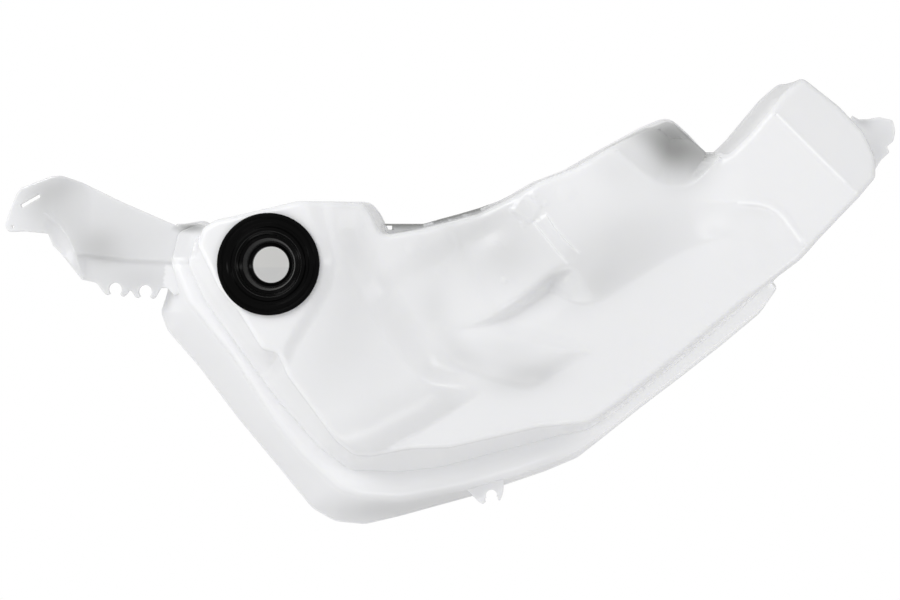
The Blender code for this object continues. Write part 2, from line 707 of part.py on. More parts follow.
def add_material(name, colour, roughness, transmission=0.0):
    material = bpy.data.materials.new(name)
    material.use_nodes = True
    shader = material.node_tree.nodes["Principled BSDF"]
    shader.inputs["Base Color"].default_value = (*colour, 1)
    shader.inputs["Roughness"].default_value = roughness
    shader.inputs["Metallic"].default_value = 0.0
    shader.inputs["Transmission Weight"].default_value = transmission
    return material


def combine(target, operation, tool):
    modifier = target.modifiers.new(operation.lower() + "_" + tool.name, "BOOLEAN")
    modifier.operation = operation
    modifier.solver = "EXACT"
    modifier.object = tool


def build_tank(parts, cutters):
    tank = add_object("tank", body_mesh(), parts)
    print("body", len(tank.data.polygons))
    step_foot = [(x, y - STEP_WIDTH) for x, y in FOLD_STEP]
    folds = [np.array(line, float) for line in (FOLD_RIDGE, FOLD_STEP, step_foot)]
    sheets = [
        ("bracket_arm", BRACKET, bracket_height, 9.0, 5.0, folds),
        ("top_flange", TOP_FLANGE, level_at(FLANGE_Z + SHEET), 60.0, 8.0, []),
        ("bottom_clip", BOTTOM_CLIP, level_at(CLIP_Z + SHEET), 30.0, 3.0, []),
        ("right_tab", RIGHT_TAB, level_at(TAB_Z + SHEET), 30.0, 4.0, []),
    ]
    for name, corners, height, spacing, step, lines in sheets:
        sheet = add_object(name, sheet_mesh(name, corners, height, SHEET, lines, spacing, step), cutters)
        combine(tank, "UNION", hide_cutter(sheet))
    cavity = hide_cutter(add_object("cavity", cavity_mesh(), cutters))
    print("cavity", len(cavity.data.polygons))
    combine(tank, "DIFFERENCE", cavity)
    middle = (FILLER_X, FILLER_Y, NECK_Z)
    hole = add_cylinder("filler_hole", FILLER_HOLE_RADIUS, middle, HOLE_CUTTER, "z", cutters, 64)
    combine(tank, "DIFFERENCE", hide_cutter(hole))
    middle = (POCKET_X, POCKET_END_Y, PORT_Z)
    port = add_cylinder("pump_port", PORT_RADIUS, middle, HOLE_CUTTER, "y", cutters, 32)
    combine(tank, "DIFFERENCE", hide_cutter(port))
    clip_middle = BRACKET_Z - STEP_DROP - SHEET / 2
    tab_middle = BRACKET_Z + TAB_RISE - SHEET / 2
    bores = [
        ("hose_bore_1", HOSE_RADIUS, (*HOSE_CLIPS[0], clip_middle), 28),
        ("hose_bore_2", HOSE_RADIUS, (*HOSE_CLIPS[1], clip_middle), 28),
        ("hose_bore_3", SMALL_HOSE_RADIUS, (*BOTTOM_HOSE, CLIP_Z + SHEET / 2), 28),
        ("tab_pin_hole", TAB_PIN_RADIUS, (*TAB_PIN, tab_middle), 16),
    ]
    for name, radius, middle, sides in bores:
        bore = add_cylinder(name, radius, middle, SHEET_CUTTER, "z", cutters, sides)
        combine(tank, "DIFFERENCE", hide_cutter(bore))
    slots = [
        ("tab_slot", BRACKET_SLOT, tab_middle),
        ("flange_slot", FLANGE_SLOT, FLANGE_Z + SHEET / 2),
    ]
    for name, corners, middle in slots:
        mesh = sheet_mesh(name, corners, level_at(middle + SHEET_CUTTER / 2), SHEET_CUTTER, [], 60.0, 1.5)
        combine(tank, "DIFFERENCE", hide_cutter(add_object(name, mesh, cutters)))
    tank.data.materials.append(add_material("white_polyethylene", (0.86, 0.87, 0.88), 0.38, 0.1))
    return tank


def grommet_profile():
    """Radius and height above the neck pad, from the outer edge of the flange inwards and round."""
    top = FLANGE_THICKNESS + SEAT_GAP
    groove = FILLER_HOLE_RADIUS - SEAT_GAP
    under = -WALL - SEAT_GAP
    throat = -FUNNEL_DEPTH
    return [
        (FLANGE_RADIUS - 0.5, SEAT_GAP), (FLANGE_RADIUS, SEAT_GAP + 0.6), (FLANGE_RADIUS, top - 1.2),
        (FLANGE_RADIUS - 0.5, top - 0.4), (FLANGE_RADIUS - 1.4, top), (FLANGE_RADIUS - 3, top),
        (FLANGE_RADIUS - 3.5, top - 0.5), (BEAD_RADIUS + 2.2, top - 0.5), (BEAD_RADIUS + 1.5, top + 0.3),
        (BEAD_RADIUS + 0.6, top + 0.7), (BEAD_RADIUS - 0.4, top + 0.3), (BEAD_RADIUS - 1.0, top - 0.8),
        (BEAD_RADIUS - 2.6, top - 2.6), (BEAD_RADIUS - 4.0, top - 5.0), (BORE_RADIUS + 2.0, throat + 3.0),
        (BORE_RADIUS + 0.4, throat + 1.0), (BORE_RADIUS, throat), (BORE_RADIUS, throat - 3.0),
        (BORE_RADIUS + 1.6, throat - 3.6), (BORE_RADIUS + 2.6, throat - 3.0),
        (BORE_RADIUS + 5.5, throat + 2.0), (groove - 2.6, under - 5.0),
        (LIP_RADIUS - 2.4, under - 4.2), (LIP_RADIUS, under - 1.0), (LIP_RADIUS - 0.4, under),
        (groove, under), (groove, SEAT_GAP),
    ]


def build_grommet(parts):
    profile = grommet_profile()
    mesh = bpy.data.meshes.new("filler_grommet")
    count = len(profile)
    verts = [(radius * MM, 0.0, height * MM) for radius, height in profile]
    mesh.from_pydata(verts, [(i, (i + 1) % count) for i in range(count)], [])
    grommet = add_object("filler_grommet", mesh, parts)
    grommet.location = (FILLER_X * MM, FILLER_Y * MM, NECK_Z * MM)
    screw = grommet.modifiers.new("turn", "SCREW")
    screw.axis = "Z"
    screw.angle = 2 * math.pi
    screw.steps = 56
    screw.render_steps = 56
    screw.use_merge_vertices = True
    screw.merge_threshold = 0.00001
    screw.use_normal_calculate = True
    grommet.data.materials.append(add_material("black_rubber", (0.012, 0.012, 0.013), 0.45))
    return grommet


def stand_at_origin(parts):
    """Move the finished solids so that the middle of their underside is the origin."""
    bpy.context.view_layer.update()
    graph = bpy.context.evaluated_depsgraph_get()
    corners = []
    for thing in parts.objects:
        solid = thing.evaluated_get(graph)
        mesh = solid.to_mesh()
        corners += [solid.matrix_world @ vert.co for vert in mesh.vertices]
        print(thing.name, "triangles", sum(len(p.vertices) - 2 for p in mesh.polygons))
        solid.to_mesh_clear()
    low = [min(c[i] for c in corners) for i in range(3)]
    high = [max(c[i] for c in corners) for i in range(3)]
    middle = ((low[0] + high[0]) / 2, (low[1] + high[1]) / 2, low[2])
    print("size mm", [round((high[i] - low[i]) / MM, 1) for i in range(3)], "middle", middle)
    carrier = bpy.data.objects.new("carrier", None)
    carrier.location = [-value for value in middle]
    parts.objects.link(carrier)
    return carrier


def main():
    for thing in list(bpy.data.objects):
        bpy.data.objects.remove(thing)
    parts = bpy.data.collections.new("washer_fluid_reservoir")
    cutters = bpy.data.collections.new("cutters")
    for collection in (parts, cutters):
        bpy.context.scene.collection.children.link(collection)
    tank = build_tank(parts, cutters)
    grommet = build_grommet(parts)
    carrier = stand_at_origin(parts)
    for thing in [tank, grommet] + list(cutters.objects):
        thing.parent = carrier
    print("built", [thing.name for thing in parts.objects])


main()
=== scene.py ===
import math

import bmesh
import bpy
import numpy as np
from mathutils import Matrix, Vector
from mathutils.geometry import delaunay_2d_cdt


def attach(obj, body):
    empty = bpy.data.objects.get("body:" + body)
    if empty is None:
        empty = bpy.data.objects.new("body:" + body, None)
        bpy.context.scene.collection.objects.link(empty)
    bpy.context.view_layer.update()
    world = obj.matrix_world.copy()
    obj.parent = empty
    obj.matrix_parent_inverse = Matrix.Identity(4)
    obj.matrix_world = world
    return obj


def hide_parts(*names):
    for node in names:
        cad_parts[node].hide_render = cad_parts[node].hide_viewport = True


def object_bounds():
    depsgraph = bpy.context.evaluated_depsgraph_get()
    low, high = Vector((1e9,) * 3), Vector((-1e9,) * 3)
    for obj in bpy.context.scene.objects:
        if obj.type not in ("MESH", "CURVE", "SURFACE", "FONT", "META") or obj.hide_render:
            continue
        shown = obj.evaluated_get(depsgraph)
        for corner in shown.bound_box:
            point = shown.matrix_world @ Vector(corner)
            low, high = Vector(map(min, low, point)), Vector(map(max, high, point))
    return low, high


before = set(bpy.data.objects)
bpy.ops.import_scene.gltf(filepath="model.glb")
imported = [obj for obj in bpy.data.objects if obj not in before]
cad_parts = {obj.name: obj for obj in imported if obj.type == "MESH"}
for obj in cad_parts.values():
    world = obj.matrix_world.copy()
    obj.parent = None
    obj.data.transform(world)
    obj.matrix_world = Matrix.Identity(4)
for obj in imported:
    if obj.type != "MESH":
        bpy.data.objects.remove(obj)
cadBox = [list(corner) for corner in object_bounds()]
print("frame loaded")

# Shapes are drawn in millimetres with the camera's axis as origin; this is where the part's own middle lies
mm = 0.001
partMiddle = (-1.31437, -2.58790)
weldDistance = 2e-6
rimError = 0.004
pathStep = 4.0
roundStep, roundTurn = 1.6, math.radians(9)  # the longest run and turn on a rounded corner

scene = bpy.context.scene
pieces = bpy.data.collections.new("washer_tank_pieces")
scene.collection.children.link(pieces)


# Plan drawing: closed outlines with rounded corners and distances to them

def arcPath(corners, step=pathStep):
    corners = list(corners)
    area = sum(a[0] * b[1] - b[0] * a[1] for a, b in zip(corners, corners[1:] + corners[:1]))
    if area < 0:
        corners = corners[::-1]
    points = []
    count = len(corners)
    for index in range(count):
        before = np.array(corners[index - 1][:2], float)
        corner = np.array(corners[index][:2], float)
        after = np.array(corners[(index + 1) % count][:2], float)
        back, ahead = before - corner, after - corner
        backLength, aheadLength = np.linalg.norm(back), np.linalg.norm(ahead)
        back /= backLength
        ahead /= aheadLength
        half = math.acos(max(-1.0, min(1.0, float(back @ ahead)))) / 2
        radius = corners[index][2]
        reach = radius / math.tan(half) if half < math.pi / 2 - 1e-4 else 0.0
        limit = 0.49 * min(backLength, aheadLength)
        if reach > limit:
            reach = limit
            radius = reach * math.tan(half)
        if reach < 0.05:
            points.append(corner)
            continue
        sweep = math.pi - 2 * half
        bends = max(2, math.ceil(radius * sweep / roundStep), math.ceil(sweep / roundTurn))
        for bend in range(bends + 1):
            t = bend / bends
            points.append((1 - t) ** 2 * (corner + back * reach) + 2 * t * (1 - t) * corner
                          + t * t * (corner + ahead * reach))
    filled = []
    for index, point in enumerate(points):
        following = points[(index + 1) % len(points)]
        length = np.linalg.norm(following - point)
        if length < 0.02:
            continue
        runs = max(1, round(length / step))
        for run in range(runs):
            filled.append(point + (following - point) * run / runs)
    return np.array(filled)


def spreadRun(corners, distance):
    # the same open run of corners moved outwards
    moved = []
    for index, (x, y, radius) in enumerate(corners):
        before = np.array(corners[max(index - 1, 0)][:2], float)
        here = np.array((x, y), float)
        after = np.array(corners[min(index + 1, len(corners) - 1)][:2], float)
        normals = []
        for a, b in ((before, here), (here, after)):
            run = b - a
            if np.linalg.norm(run) > 0:
                normals.append(np.array((run[1], -run[0])) / np.linalg.norm(run))
        normal = sum(normals)
        normal /= np.linalg.norm(normal)
        turn = (here - before)[0] * (after - here)[1] - (here - before)[1] * (after - here)[0]
        place = here + normal * distance / max(0.5, float(normal @ normals[0]))
        moved.append((place[0], place[1], max(1.0, radius + math.copysign(distance, turn))))
    return moved


def crossingSign(path, points):
    ends = np.roll(path, -1, axis=0)
    runs = ends - path
    above = (path[None, :, 1] > points[:, 1:2]) != (ends[None, :, 1] > points[:, 1:2])
    rise = np.where(runs[:, 1] == 0, 1e-9, runs[:, 1])
    crossing = path[:, 0] + (points[:, 1:2] - path[:, 1]) / rise * runs[:, 0]
    return np.where((above & (points[:, 0:1] < crossing)).sum(1) % 2 == 1, 1.0, -1.0)


def runDistance(starts, runs, points):
    lengths = np.maximum((runs ** 2).sum(1), 1e-12)
    toPoint = points[:, None, :] - starts[None]
    share = np.clip((toPoint * runs).sum(2) / lengths, 0, 1)
    gap = toPoint - share[..., None] * runs
    return np.sqrt((gap ** 2).sum(2))


def insideDistance(path, points, cell=22.0):
    # distance from a closed path, positive inside, worked out cell by cell with the runs that are near
    points = np.asarray(points, float)
    result = np.empty(len(points))
    runs = np.roll(path, -1, axis=0) - path
    keys = np.floor(points / cell).astype(int)
    flatKeys = keys[:, 0] * 100003 + keys[:, 1]  # one number for each cell
    order = np.argsort(flatKeys, kind="stable")
    cuts = np.flatnonzero(np.diff(flatKeys[order])) + 1
    reach = cell * math.sqrt(0.5)
    for group in np.split(order, cuts):
        if len(group) == 0:
            continue
        middle = (keys[group[0]] + 0.5)[None] * cell
        far = runDistance(path, runs, middle)[0]
        near = far <= far.min() + 2 * reach + 1e-6
        distance = runDistance(path[near], runs[near], points[group]).min(1)
        probe = middle if far.min() > reach + 1e-6 else points[group]
        result[group] = distance * crossingSign(path, probe)
    return result


def lineDistance(line, points):
    # distance from an open line, positive on its left
    line = np.array(line, float)
    best = np.full(len(points), 1e9)
    side = np.zeros(len(points))
    for start, end in zip(line[:-1], line[1:]):
        run = end - start
        toPoint = points - start
        share = np.clip((toPoint @ run) / (run @ run), 0, 1)
        distance = np.linalg.norm(toPoint - share[:, None] * run, axis=1)
        turn = run[0] * toPoint[:, 1] - run[1] * toPoint[:, 0]
        closer = distance < best
        best = np.where(closer, distance, best)
        side = np.where(closer, np.sign(turn), side)
    return best * side


def offsetPath(path, distance):
    ahead = np.roll(path, -1, axis=0) - np.roll(path, 1, axis=0)
    inward = np.stack((-ahead[:, 1], ahead[:, 0]), 1) / np.linalg.norm(ahead, axis=1)[:, None]
    moved = path + inward * distance
    return moved[np.abs(insideDistance(path, moved)) > abs(distance) - 0.12]


def resample(path, step):
    kept = [path[0]]
    for index in range(1, len(path)):
        if np.linalg.norm(path[index] - kept[-1]) >= step:
            kept.append(path[index])
    return np.array(kept)


def smooth(t):
    t = np.clip(t, 0, 1)
    return t * t * (3 - 2 * t)


def rise(value, start, run):
    # from 0 at the start to 1 after the run
    return smooth((value - start) / run)


def fall(value, end, run):
    # from 1 before the run to 0 at the end
    return smooth((end - value) / run)


def bead(value, middle, width):
    return np.exp(-((value - middle) / width) ** 2)


def sharpFoot(t):
    # rises steeply from its foot and levels off softly
    return np.sin(np.clip(t, 0, 1) * math.pi / 2)


def softPositive(value, width):
    return (value + np.sqrt(value ** 2 + width ** 2)) / 2


def softLesser(a, b, width):
    # the lesser of two values, rounded off where they are nearly equal
    return np.minimum(a, b) - np.maximum(width - np.abs(a - b), 0) ** 2 / (4 * width)


# Heights of the tank's surfaces and the widths of its slopes
tankShape = {
    "parting": 26.0, "ridge": 48.0, "valley": 49.0, "shelf": 86.0, "plateau": 99.5, "pad": 96.6,
    "hill": 98.5, "block": 104.0, "neck": 108.0, "scoop": 50.0,
    "wall": 2.2, "ridgeRise": 3.5, "edgeRadius": 4.2, "backRounding": 13.0, "seam": 0.35,
    "plateauSlope": 26.0, "neckSlope": 10.0, "blockSlope": 24.0,
    "endFall": 0.46, "flatShare": 0.88, "fineGrid": 1.15, "flatError": 0.015, "backError": 0.05,
}
panelLower = [
    (-159.5, 35, 8), (-146, 7.5, 20), (-133, -8, 20), (-118.5, -31.5, 8), (-109, -33.5, 5),
    (-103, -48, 20), (-73, -90, 24), (-62, -99.5, 10), (-50.5, -100.5, 10), (-26.5, -96, 24),
    (0, -95, 24), (57, -82, 24), (91, -79, 14), (109, -67, 20), (147.5, -36.5, 30),
    (185.5, -4.5, 30), (205, 11, 12), (221.5, 24.5, 12),
]
panelUpper = [
    (233.5, 38.5, 20), (256, 62, 20), (271.5, 78, 7), (272.5, 91, 10), (265.5, 108.5, 10),
    (249.5, 125, 20), (225.5, 143.5, 6), (212, 131.5, 12), (189.5, 104.5, 20), (175.5, 91, 5),
    (158, 109.5, 15), (147, 119.5, 8), (131, 113, 12), (101.5, 97, 20), (79, 84, 20),
    (57, 75.5, 15), (43.5, 67.5, 12), (19, 55, 20), (-19, 45, 30), (-43.5, 41, 8),
    (-50.5, 55.5, 6), (-55.5, 62, 6), (-96, 62.5, 12), (-132, 54, 20), (-148, 50.5, 8),
    (-156, 45.5, 5),
]
ridgeLower = [
    (-185, 25, 8), (-174.5, -2, 12), (-144.5, -38.5, 30), (-116, -83, 30), (-99.5, -103, 20),
    (-74.5, -127, 16), (-59.5, -132, 12), (-33, -134, 20), (10, -126, 24), (46.5, -115.5, 24),
    (74.5, -105, 18), (86, -99.5, 15), (99.5, -90, 20), (126, -69, 30), (152.5, -49, 30),
    (179, -28, 30), (204, -7.5, 20), (216, 6, 7), (213, 13, 5), (223, 22, 12),
]
ridgeLeft = [(-168, 50, 8), (-180, 45, 6)]
valleyLower = [
    (-174, 24, 8), (-163, 0, 12), (-137, -36, 30), (-113, -68, 30), (-86.5, -98, 20),
    (-66.5, -113, 10), (-33, -114, 20), (-6.5, -111, 20), (20, -104, 24), (46.5, -97, 24),
    (73, -90, 15), (92, -86, 12), (112, -73, 20), (151, -41.5, 30), (189, -9.5, 30),
    (206, 6, 7), (209, 11.5, 5), (222.5, 22.5, 12),
]
valleyLeft = [(-160, 46, 6), (-169, 41, 6)]
tubLower = [
    (-191.5, 5, 6), (-196, -8, 8), (-191.5, -20.5, 12), (-169.5, -46, 30), (-142.5, -81.5, 30),
    (-115.5, -114, 30), (-93.5, -141, 18), (-78, -150, 20), (-57.5, -152, 16), (-34, -146.5, 20),
    (15, -133, 24), (64.5, -116, 24), (86, -107, 18), (102, -94.5, 20), (129, -73, 30),
    (156, -52.5, 30), (183.5, -31, 30), (210, -9, 20), (222.5, 9, 8), (217, 13.5, 4),
    (224.5, 20.5, 12),
]
tubLeft = [(-166, 54, 8), (-184, 51, 6), (-190, 28, 12)]
outlines = {
    "panel": arcPath(panelLower + panelUpper),
    "valley": arcPath(valleyLower + spreadRun(panelUpper, 1.5) + valleyLeft),
    "ridge": arcPath(ridgeLower + spreadRun(panelUpper, 3.0) + ridgeLeft),
    "tub": arcPath(tubLower + spreadRun(panelUpper, 4.5) + tubLeft),
}

# Relief of the front panel. The foot of the raised ground runs along these lines
plateauFoot = [(-67.3, -106), (-50, -101), (-32, -91), (-19.2, -84.5), (-6.4, -76.5), (6.4, -68),
               (19.2, -60), (25.6, -53)]
tongueFoot = [(-20, -50), (12, -46), (25.6, -52), (35.3, -54.2), (44.9, -57.1), (50, -57.7), (54, -56.8),
              (58.4, -54.5), (65.4, -49.4), (74.4, -43.3), (83.4, -37.9), (97, -33), (110, -33)]
tongueTop = [(-20, 0), (12, -6), (37.2, -9.5), (48.1, -10.9), (61, -15.4), (73.8, -19.9), (86.6, -25.7),
             (97, -33), (110, -34)]
hillAlong = (0.88, 0.47)
hillFoot = [(63, 7), (73.8, -0.6), (81.5, -3.4), (89.8, -3.9), (97.5, -1.3), (109.1, 6.1),
            (121.9, 13.8), (134.7, 22.2), (147.6, 29.6), (160.4, 34.8), (173.2, 38.8), (186.1, 43.6),
            (206, 54), (260, 82)]
slopeWidths = {"plateau": 35.0, "tongue": 21.0, "tongueTop": 18.0, "hill": 44.0}
# Rises and depths of the panel's smaller forms
panelRises = {
    "shelf": 7.0, "saddle": 6.0, "middleFoot": 88.5, "middle": 5.0, "besidePad": 2.0, "tongue": 6.0,
    "besideNeck": 5.0, "bay": 2.2, "padFall": 0.035, "bar": 1.1, "patch": 1.1, "fold": 0.6, "blockEdge": 1.0,
    "chamfer": 0.95, "scoopSlope": 1.6,
}
saddle = {"x": 190, "y": 44, "radius": 22}
blockFold = {"x": 205.2, "y": 118.1, "across": 0.703, "up": 0.711}
relief = {
    "plateauFoot": arcPath([(x, y, 8) for x, y in plateauFoot] + [(60, 0, 2), (60, 200, 2), (-260, 200, 2),
                                                                 (-260, -106, 2)], 3.0),
    # the valley that the plateau slopes down to
    "arc": [(-52, 70), (-49.7, 47.8), (-45.3, 35.1), (-39.5, 20.4), (-31.9, 6.4), (-22.9, -7.6),
            (-12.7, -22.3), (-1.3, -35.1), (12.7, -45.3), (28.7, -53), (60, -62)],
    "padAlong": (0.862, 0.507), "padAcross": (-0.507, 0.862),
    "padWall": [(90, 24), (80.2, 18), (68, 10.3), (57.7, 1.9), (44.9, -7.1), (35.3, -12.8), (25.7, -17.3),
                (16, -20.5), (0, -26)],
    "barInner": [(53.3, 48.9), (60.3, 40), (67.3, 31.1), (74.3, 23.5)],
    "barOuter": [(61, 54.6), (66.7, 45.7), (73, 38.1), (81.3, 30.5)],
    "patch": arcPath([(44.6, 69.2, 5), (37.2, 55.6, 5), (52.2, 46.5, 5), (60.5, 60.5, 5)], 1.0),
    "hillCrest": [(96, 104), (98.9, 97), (107.8, 88.8), (120.5, 78.6), (130, 72.3), (138.3, 69.4), (150, 68.6)],
    "blockEdge": arcPath([(140, 63, 2), (186.1, 61.2, 10), (195.5, 60.6, 8), (201.8, 58.7, 8), (206.9, 55.5, 8),
                          (211.3, 50.5, 8), (215.7, 44.2, 10), (222, 36, 6), (330, -100, 0), (400, 300, 0),
                          (140, 300, 0)], 3.0),
    "neck": arcPath([
        (-89, 80, 4), (-81, 45, 20), (-75.5, 24, 20), (-78, 9, 20), (-87, -8.5, 20), (-100, -29, 10),
        (-102.5, -37, 4), (-112, -46, 4), (-135, -30, 4), (-172, 20, 8), (-175, 80, 8)]),
    "scoop": arcPath([
        (174.5, 98.5, 3), (173, 93, 3), (167, 86.5, 5), (160, 78.5, 6), (152, 71.5, 7), (141, 69, 7),
        (132, 71, 6), (122, 78, 10), (108, 90, 10), (96, 104, 4), (110, 150, 4), (190, 140, 4)]),
    "blockWall": [(171.6, 85.1), (179.8, 94.6), (186.1, 102.8), (195.5, 114.8), (205, 124.2)],
}
# folds with close rows of points that glow faintly as a painted highlight: the bar's two sides, the block's fold and
# its lower left edge
brightFolds = [
    relief["barInner"], relief["barOuter"],
    [(206.5, 117.0), (222, 101.5), (238, 85.5), (249, 74.8)],
    [(182, 61.4), (190, 61.1), (196, 60.2), (201.5, 58.4), (206.5, 55.4), (211, 50.6), (215.5, 44.4), (221, 37)],
]
roundBumps = [  # place, radius and rise of the small round marks on the panel
    (-23.5, 33.6, 6.4, 0.45), (74.2, 68.0, 7.2, 0.5), (34.3, 12.7, 2.6, 0.6), (-64.7, 41.2, 4.5, 0.15),
    (163.6, -7.1, 5.0, 0.2), (114.8, -48.8, 3.6, 0.15), (-6.0, 18.5, 4.5, 0.3), (39.3, 57.0, 2.8, 0.7),
    (46.3, 48.4, 2.8, 0.6), (53.2, 67.0, 2.8, 0.6), (60.6, 61.5, 2.4, 0.5), (46.9, 67.4, 2.2, 0.4),
]


def nearRun(line, points):
    line = np.array(line, float)
    return runDistance(line[:-1], np.diff(line, axis=0), points).min(1)


def overLine(line, points, blur=9):
    # height above a line that runs from left to right, with its corners rounded off
    line = np.array(line, float)
    x = np.arange(line[0, 0] - 30, line[-1, 0] + 30)
    y = np.interp(x, line[:, 0], line[:, 1])
    weights = np.hanning(blur * 2 + 1)
    y = np.convolve(np.pad(y, blur, mode="edge"), weights / weights.sum(), mode="valid")
    return points[:, 1] - np.interp(points[:, 0], x, y)


def raisedShares(points):
    # how far the plateau, the tongue and the hill have risen from their feet, from 0 to 1
    w = slopeWidths
    plateau = sharpFoot(insideDistance(relief["plateauFoot"], points) / w["plateau"])
    tongue = softLesser(sharpFoot(overLine(tongueFoot, points) * 0.9 / w["tongue"]),
                        smooth(-overLine(tongueTop, points) * 0.9 / w["tongueTop"]), 0.3)
    turn = np.array([hillAlong, (-hillAlong[1], hillAlong[0])])
    hill = sharpFoot(overLine(np.array(hillFoot) @ turn.T, points @ turn.T) / w["hill"])
    return plateau, np.clip(tongue, 0, 1), hill


def panelHeight(points):
    t, rises = tankShape, panelRises
    x, y = points[:, 0], points[:, 1]
    along = points @ np.array(relief["padAlong"])
    across = points @ np.array(relief["padAcross"])
    # the shelf rises towards the block
    shelf = t["shelf"] + rises["shelf"] * rise(points @ np.array((0.8, 0.6)), 152, 36)
    shelf += rises["saddle"] * np.exp(-((x - saddle["x"]) ** 2 + (y - saddle["y"]) ** 2) / saddle["radius"] ** 2)
    plateau, tongue, hill = raisedShares(points)
    onPlateau = smooth(-lineDistance(relief["arc"], points) / t["plateauSlope"])
    # middle ground, which falls along the arc and ends at the pad's wall
    foot = -lineDistance(relief["padWall"][::-1], points)
    level = rises["middleFoot"] + rises["middle"] * rise(y, -50, 62)
    level += rises["besidePad"] * rise(across, 23, 16) * fall(along, 70, 20)
    middle = fall(foot, 2, 9) * rise(y, -52, 12)
    height = shelf + np.maximum(middle * fall(along, 84, 20), plateau * onPlateau) * (level - shelf)
    low = shelf + rises["tongue"] * tongue
    height = np.maximum(height, low) + np.maximum(2 - np.abs(height - low), 0) ** 2 / 8
    # the plateau rises towards the neck, which keeps the neck's flank low
    besideNeck = smooth(1 + insideDistance(relief["neck"], points) / 44)
    height += (t["plateau"] + rises["besideNeck"] * besideNeck - height) * onPlateau * plateau
    raised = shelf + hill * (t["hill"] - shelf)
    height += softPositive(raised - height, 0.6) * rise(along, 40, 30)
    # the bay gets deeper towards the pad's wall
    bay = np.clip(1 - np.maximum(foot, 0) / 17, 0, 1) * rise(along, 14, 16) * fall(along, 84, 16)
    height -= rises["bay"] * smooth(bay)
    # middle pad: soft upper left side, steep lower right wall, fading out to the lower left
    pad = fall(foot, 0, 10.5) * fall(across, 31, 21)
    pad *= rise(along, 2, 40) * fall(along, 86, 10)
    top = t["pad"] - rises["padFall"] * (70 - along)
    height += softPositive(top - height, 0.8) * pad
    # raised bar along the pad's right side, and the rounded square
    inner, outer = lineDistance(relief["barInner"], points), -lineDistance(relief["barOuter"], points)
    bar = np.clip(np.minimum(np.minimum(inner, outer), 16 - across) / 1.6, 0, 1)
    height += rises["bar"] * rise(across, -17, 9) * np.sqrt(np.clip(1 - (1 - bar) ** 2, 0, 1))
    height += rises["patch"] * rise(insideDistance(relief["patch"], points), 0, 3.0)
    # block: crisp edge on its lower left, soft saddle on its left, a chamfer at the notch and a sloping end face
    inBlock = insideDistance(relief["blockEdge"], points)
    block = np.clip(1 + inBlock / t["blockSlope"], 0, 1) ** 1.7
    block *= rise(x, 146, 42)
    fold = (x - blockFold["x"]) * blockFold["across"] + (y - blockFold["y"]) * blockFold["up"]
    top = t["block"] - t["endFall"] * softPositive(fold, 0.8) + rises["fold"] * bead(fold, 0, 1.4)
    height += (top - height) * block
    height += rises["blockEdge"] * (rise(x, 176, 14) * fall(x, 228, 8)) * bead(inBlock, 1.0, 2.4)
    chamfer = softPositive(lineDistance(relief["blockWall"], points), 0.8)
    height -= rises["chamfer"] * chamfer * rise(x, 168, 8)
    height += (t["neck"] - height) * rise(insideDistance(relief["neck"], points), -4, t["neckSlope"])
    # scoop: its flank falls from the hill's crest towards the wall at the block
    down = np.maximum(lineDistance(relief["hillCrest"], points), 0)
    flank = rises["scoopSlope"] * (np.sqrt(down ** 2 + 81) - 9)
    inScoop = rise(insideDistance(relief["scoop"], points), 0, 5)
    height -= np.minimum(flank, np.maximum(height - t["scoop"], 0)) * inScoop
    for bumpX, bumpY, radius, lift in roundBumps:
        away = np.hypot(x - bumpX, y - bumpY) / radius
        height += lift * np.clip(1 - away ** 2, 0, 1) ** 1.5
    return height


def outlineDistances(points):
    return [insideDistance(outlines[name], points) for name in ("tub", "ridge", "valley", "panel")]


def frontHeight(points):
    t = tankShape
    points = np.asarray(points, float)
    x, y = points[:, 0], points[:, 1]
    tub, ridge, valley, panel = outlineDistances(points)
    roundIn = 1 - np.clip(panel / t["edgeRadius"], 0, 1)
    top = panelHeight(points) - t["edgeRadius"] * (1 - np.sqrt(1 - roundIn ** 2))
    share = np.clip(valley / np.maximum(valley - panel, 1e-6), 0, 1)
    wall = t["valley"] + (top - t["valley"]) * share
    width = np.maximum(ridge - valley, 1e-6)
    across = np.clip(ridge / width, 0, 1)
    # the ridge runs out beside the neck and lies flat along the lower right side
    flatSide = rise(x, 60, 40)
    swell = t["ridgeRise"] * np.minimum(width / 8, 1) * np.sin(math.pi * across ** (0.8 + 0.2 * flatSide))
    swell *= 1 - rise(y, 20, 9) * (x < -130)
    swell *= 1 - t["flatShare"] * flatSide
    shoulder = t["ridge"] + (t["valley"] - t["ridge"]) * across + swell
    inset = np.maximum(tub - t["seam"] * 2, 0)
    out = np.clip(inset / np.maximum(inset - ridge, 1e-6), 0, 1)
    side = t["parting"] + (t["ridge"] - t["parting"]) * out * (1.3 - 0.3 * out)
    height = np.where(panel >= 0, top, np.where(valley >= 0, wall, np.where(ridge >= 0, shoulder, side)))
    # where ridge and valley run together the wall goes straight down to the parting line
    straight = t["parting"] + (top - t["parting"]) * np.clip(inset / np.maximum(inset - panel, 1e-6), 0, 1)
    height += (straight - height) * fall(width, 3.6, 1.8) * (panel < 0)
    lip = t["seam"] * rise(tub, 0, 0.3)
    return np.where(tub >= 0, np.maximum(height, t["parting"] + lip), t["parting"])


# Pump pocket in the back
pocket = {"x": -35.0, "endY": -72.0, "radius": 24.0, "endSlope": 3.0, "portRadius": 9.0, "portZ": 13.0}


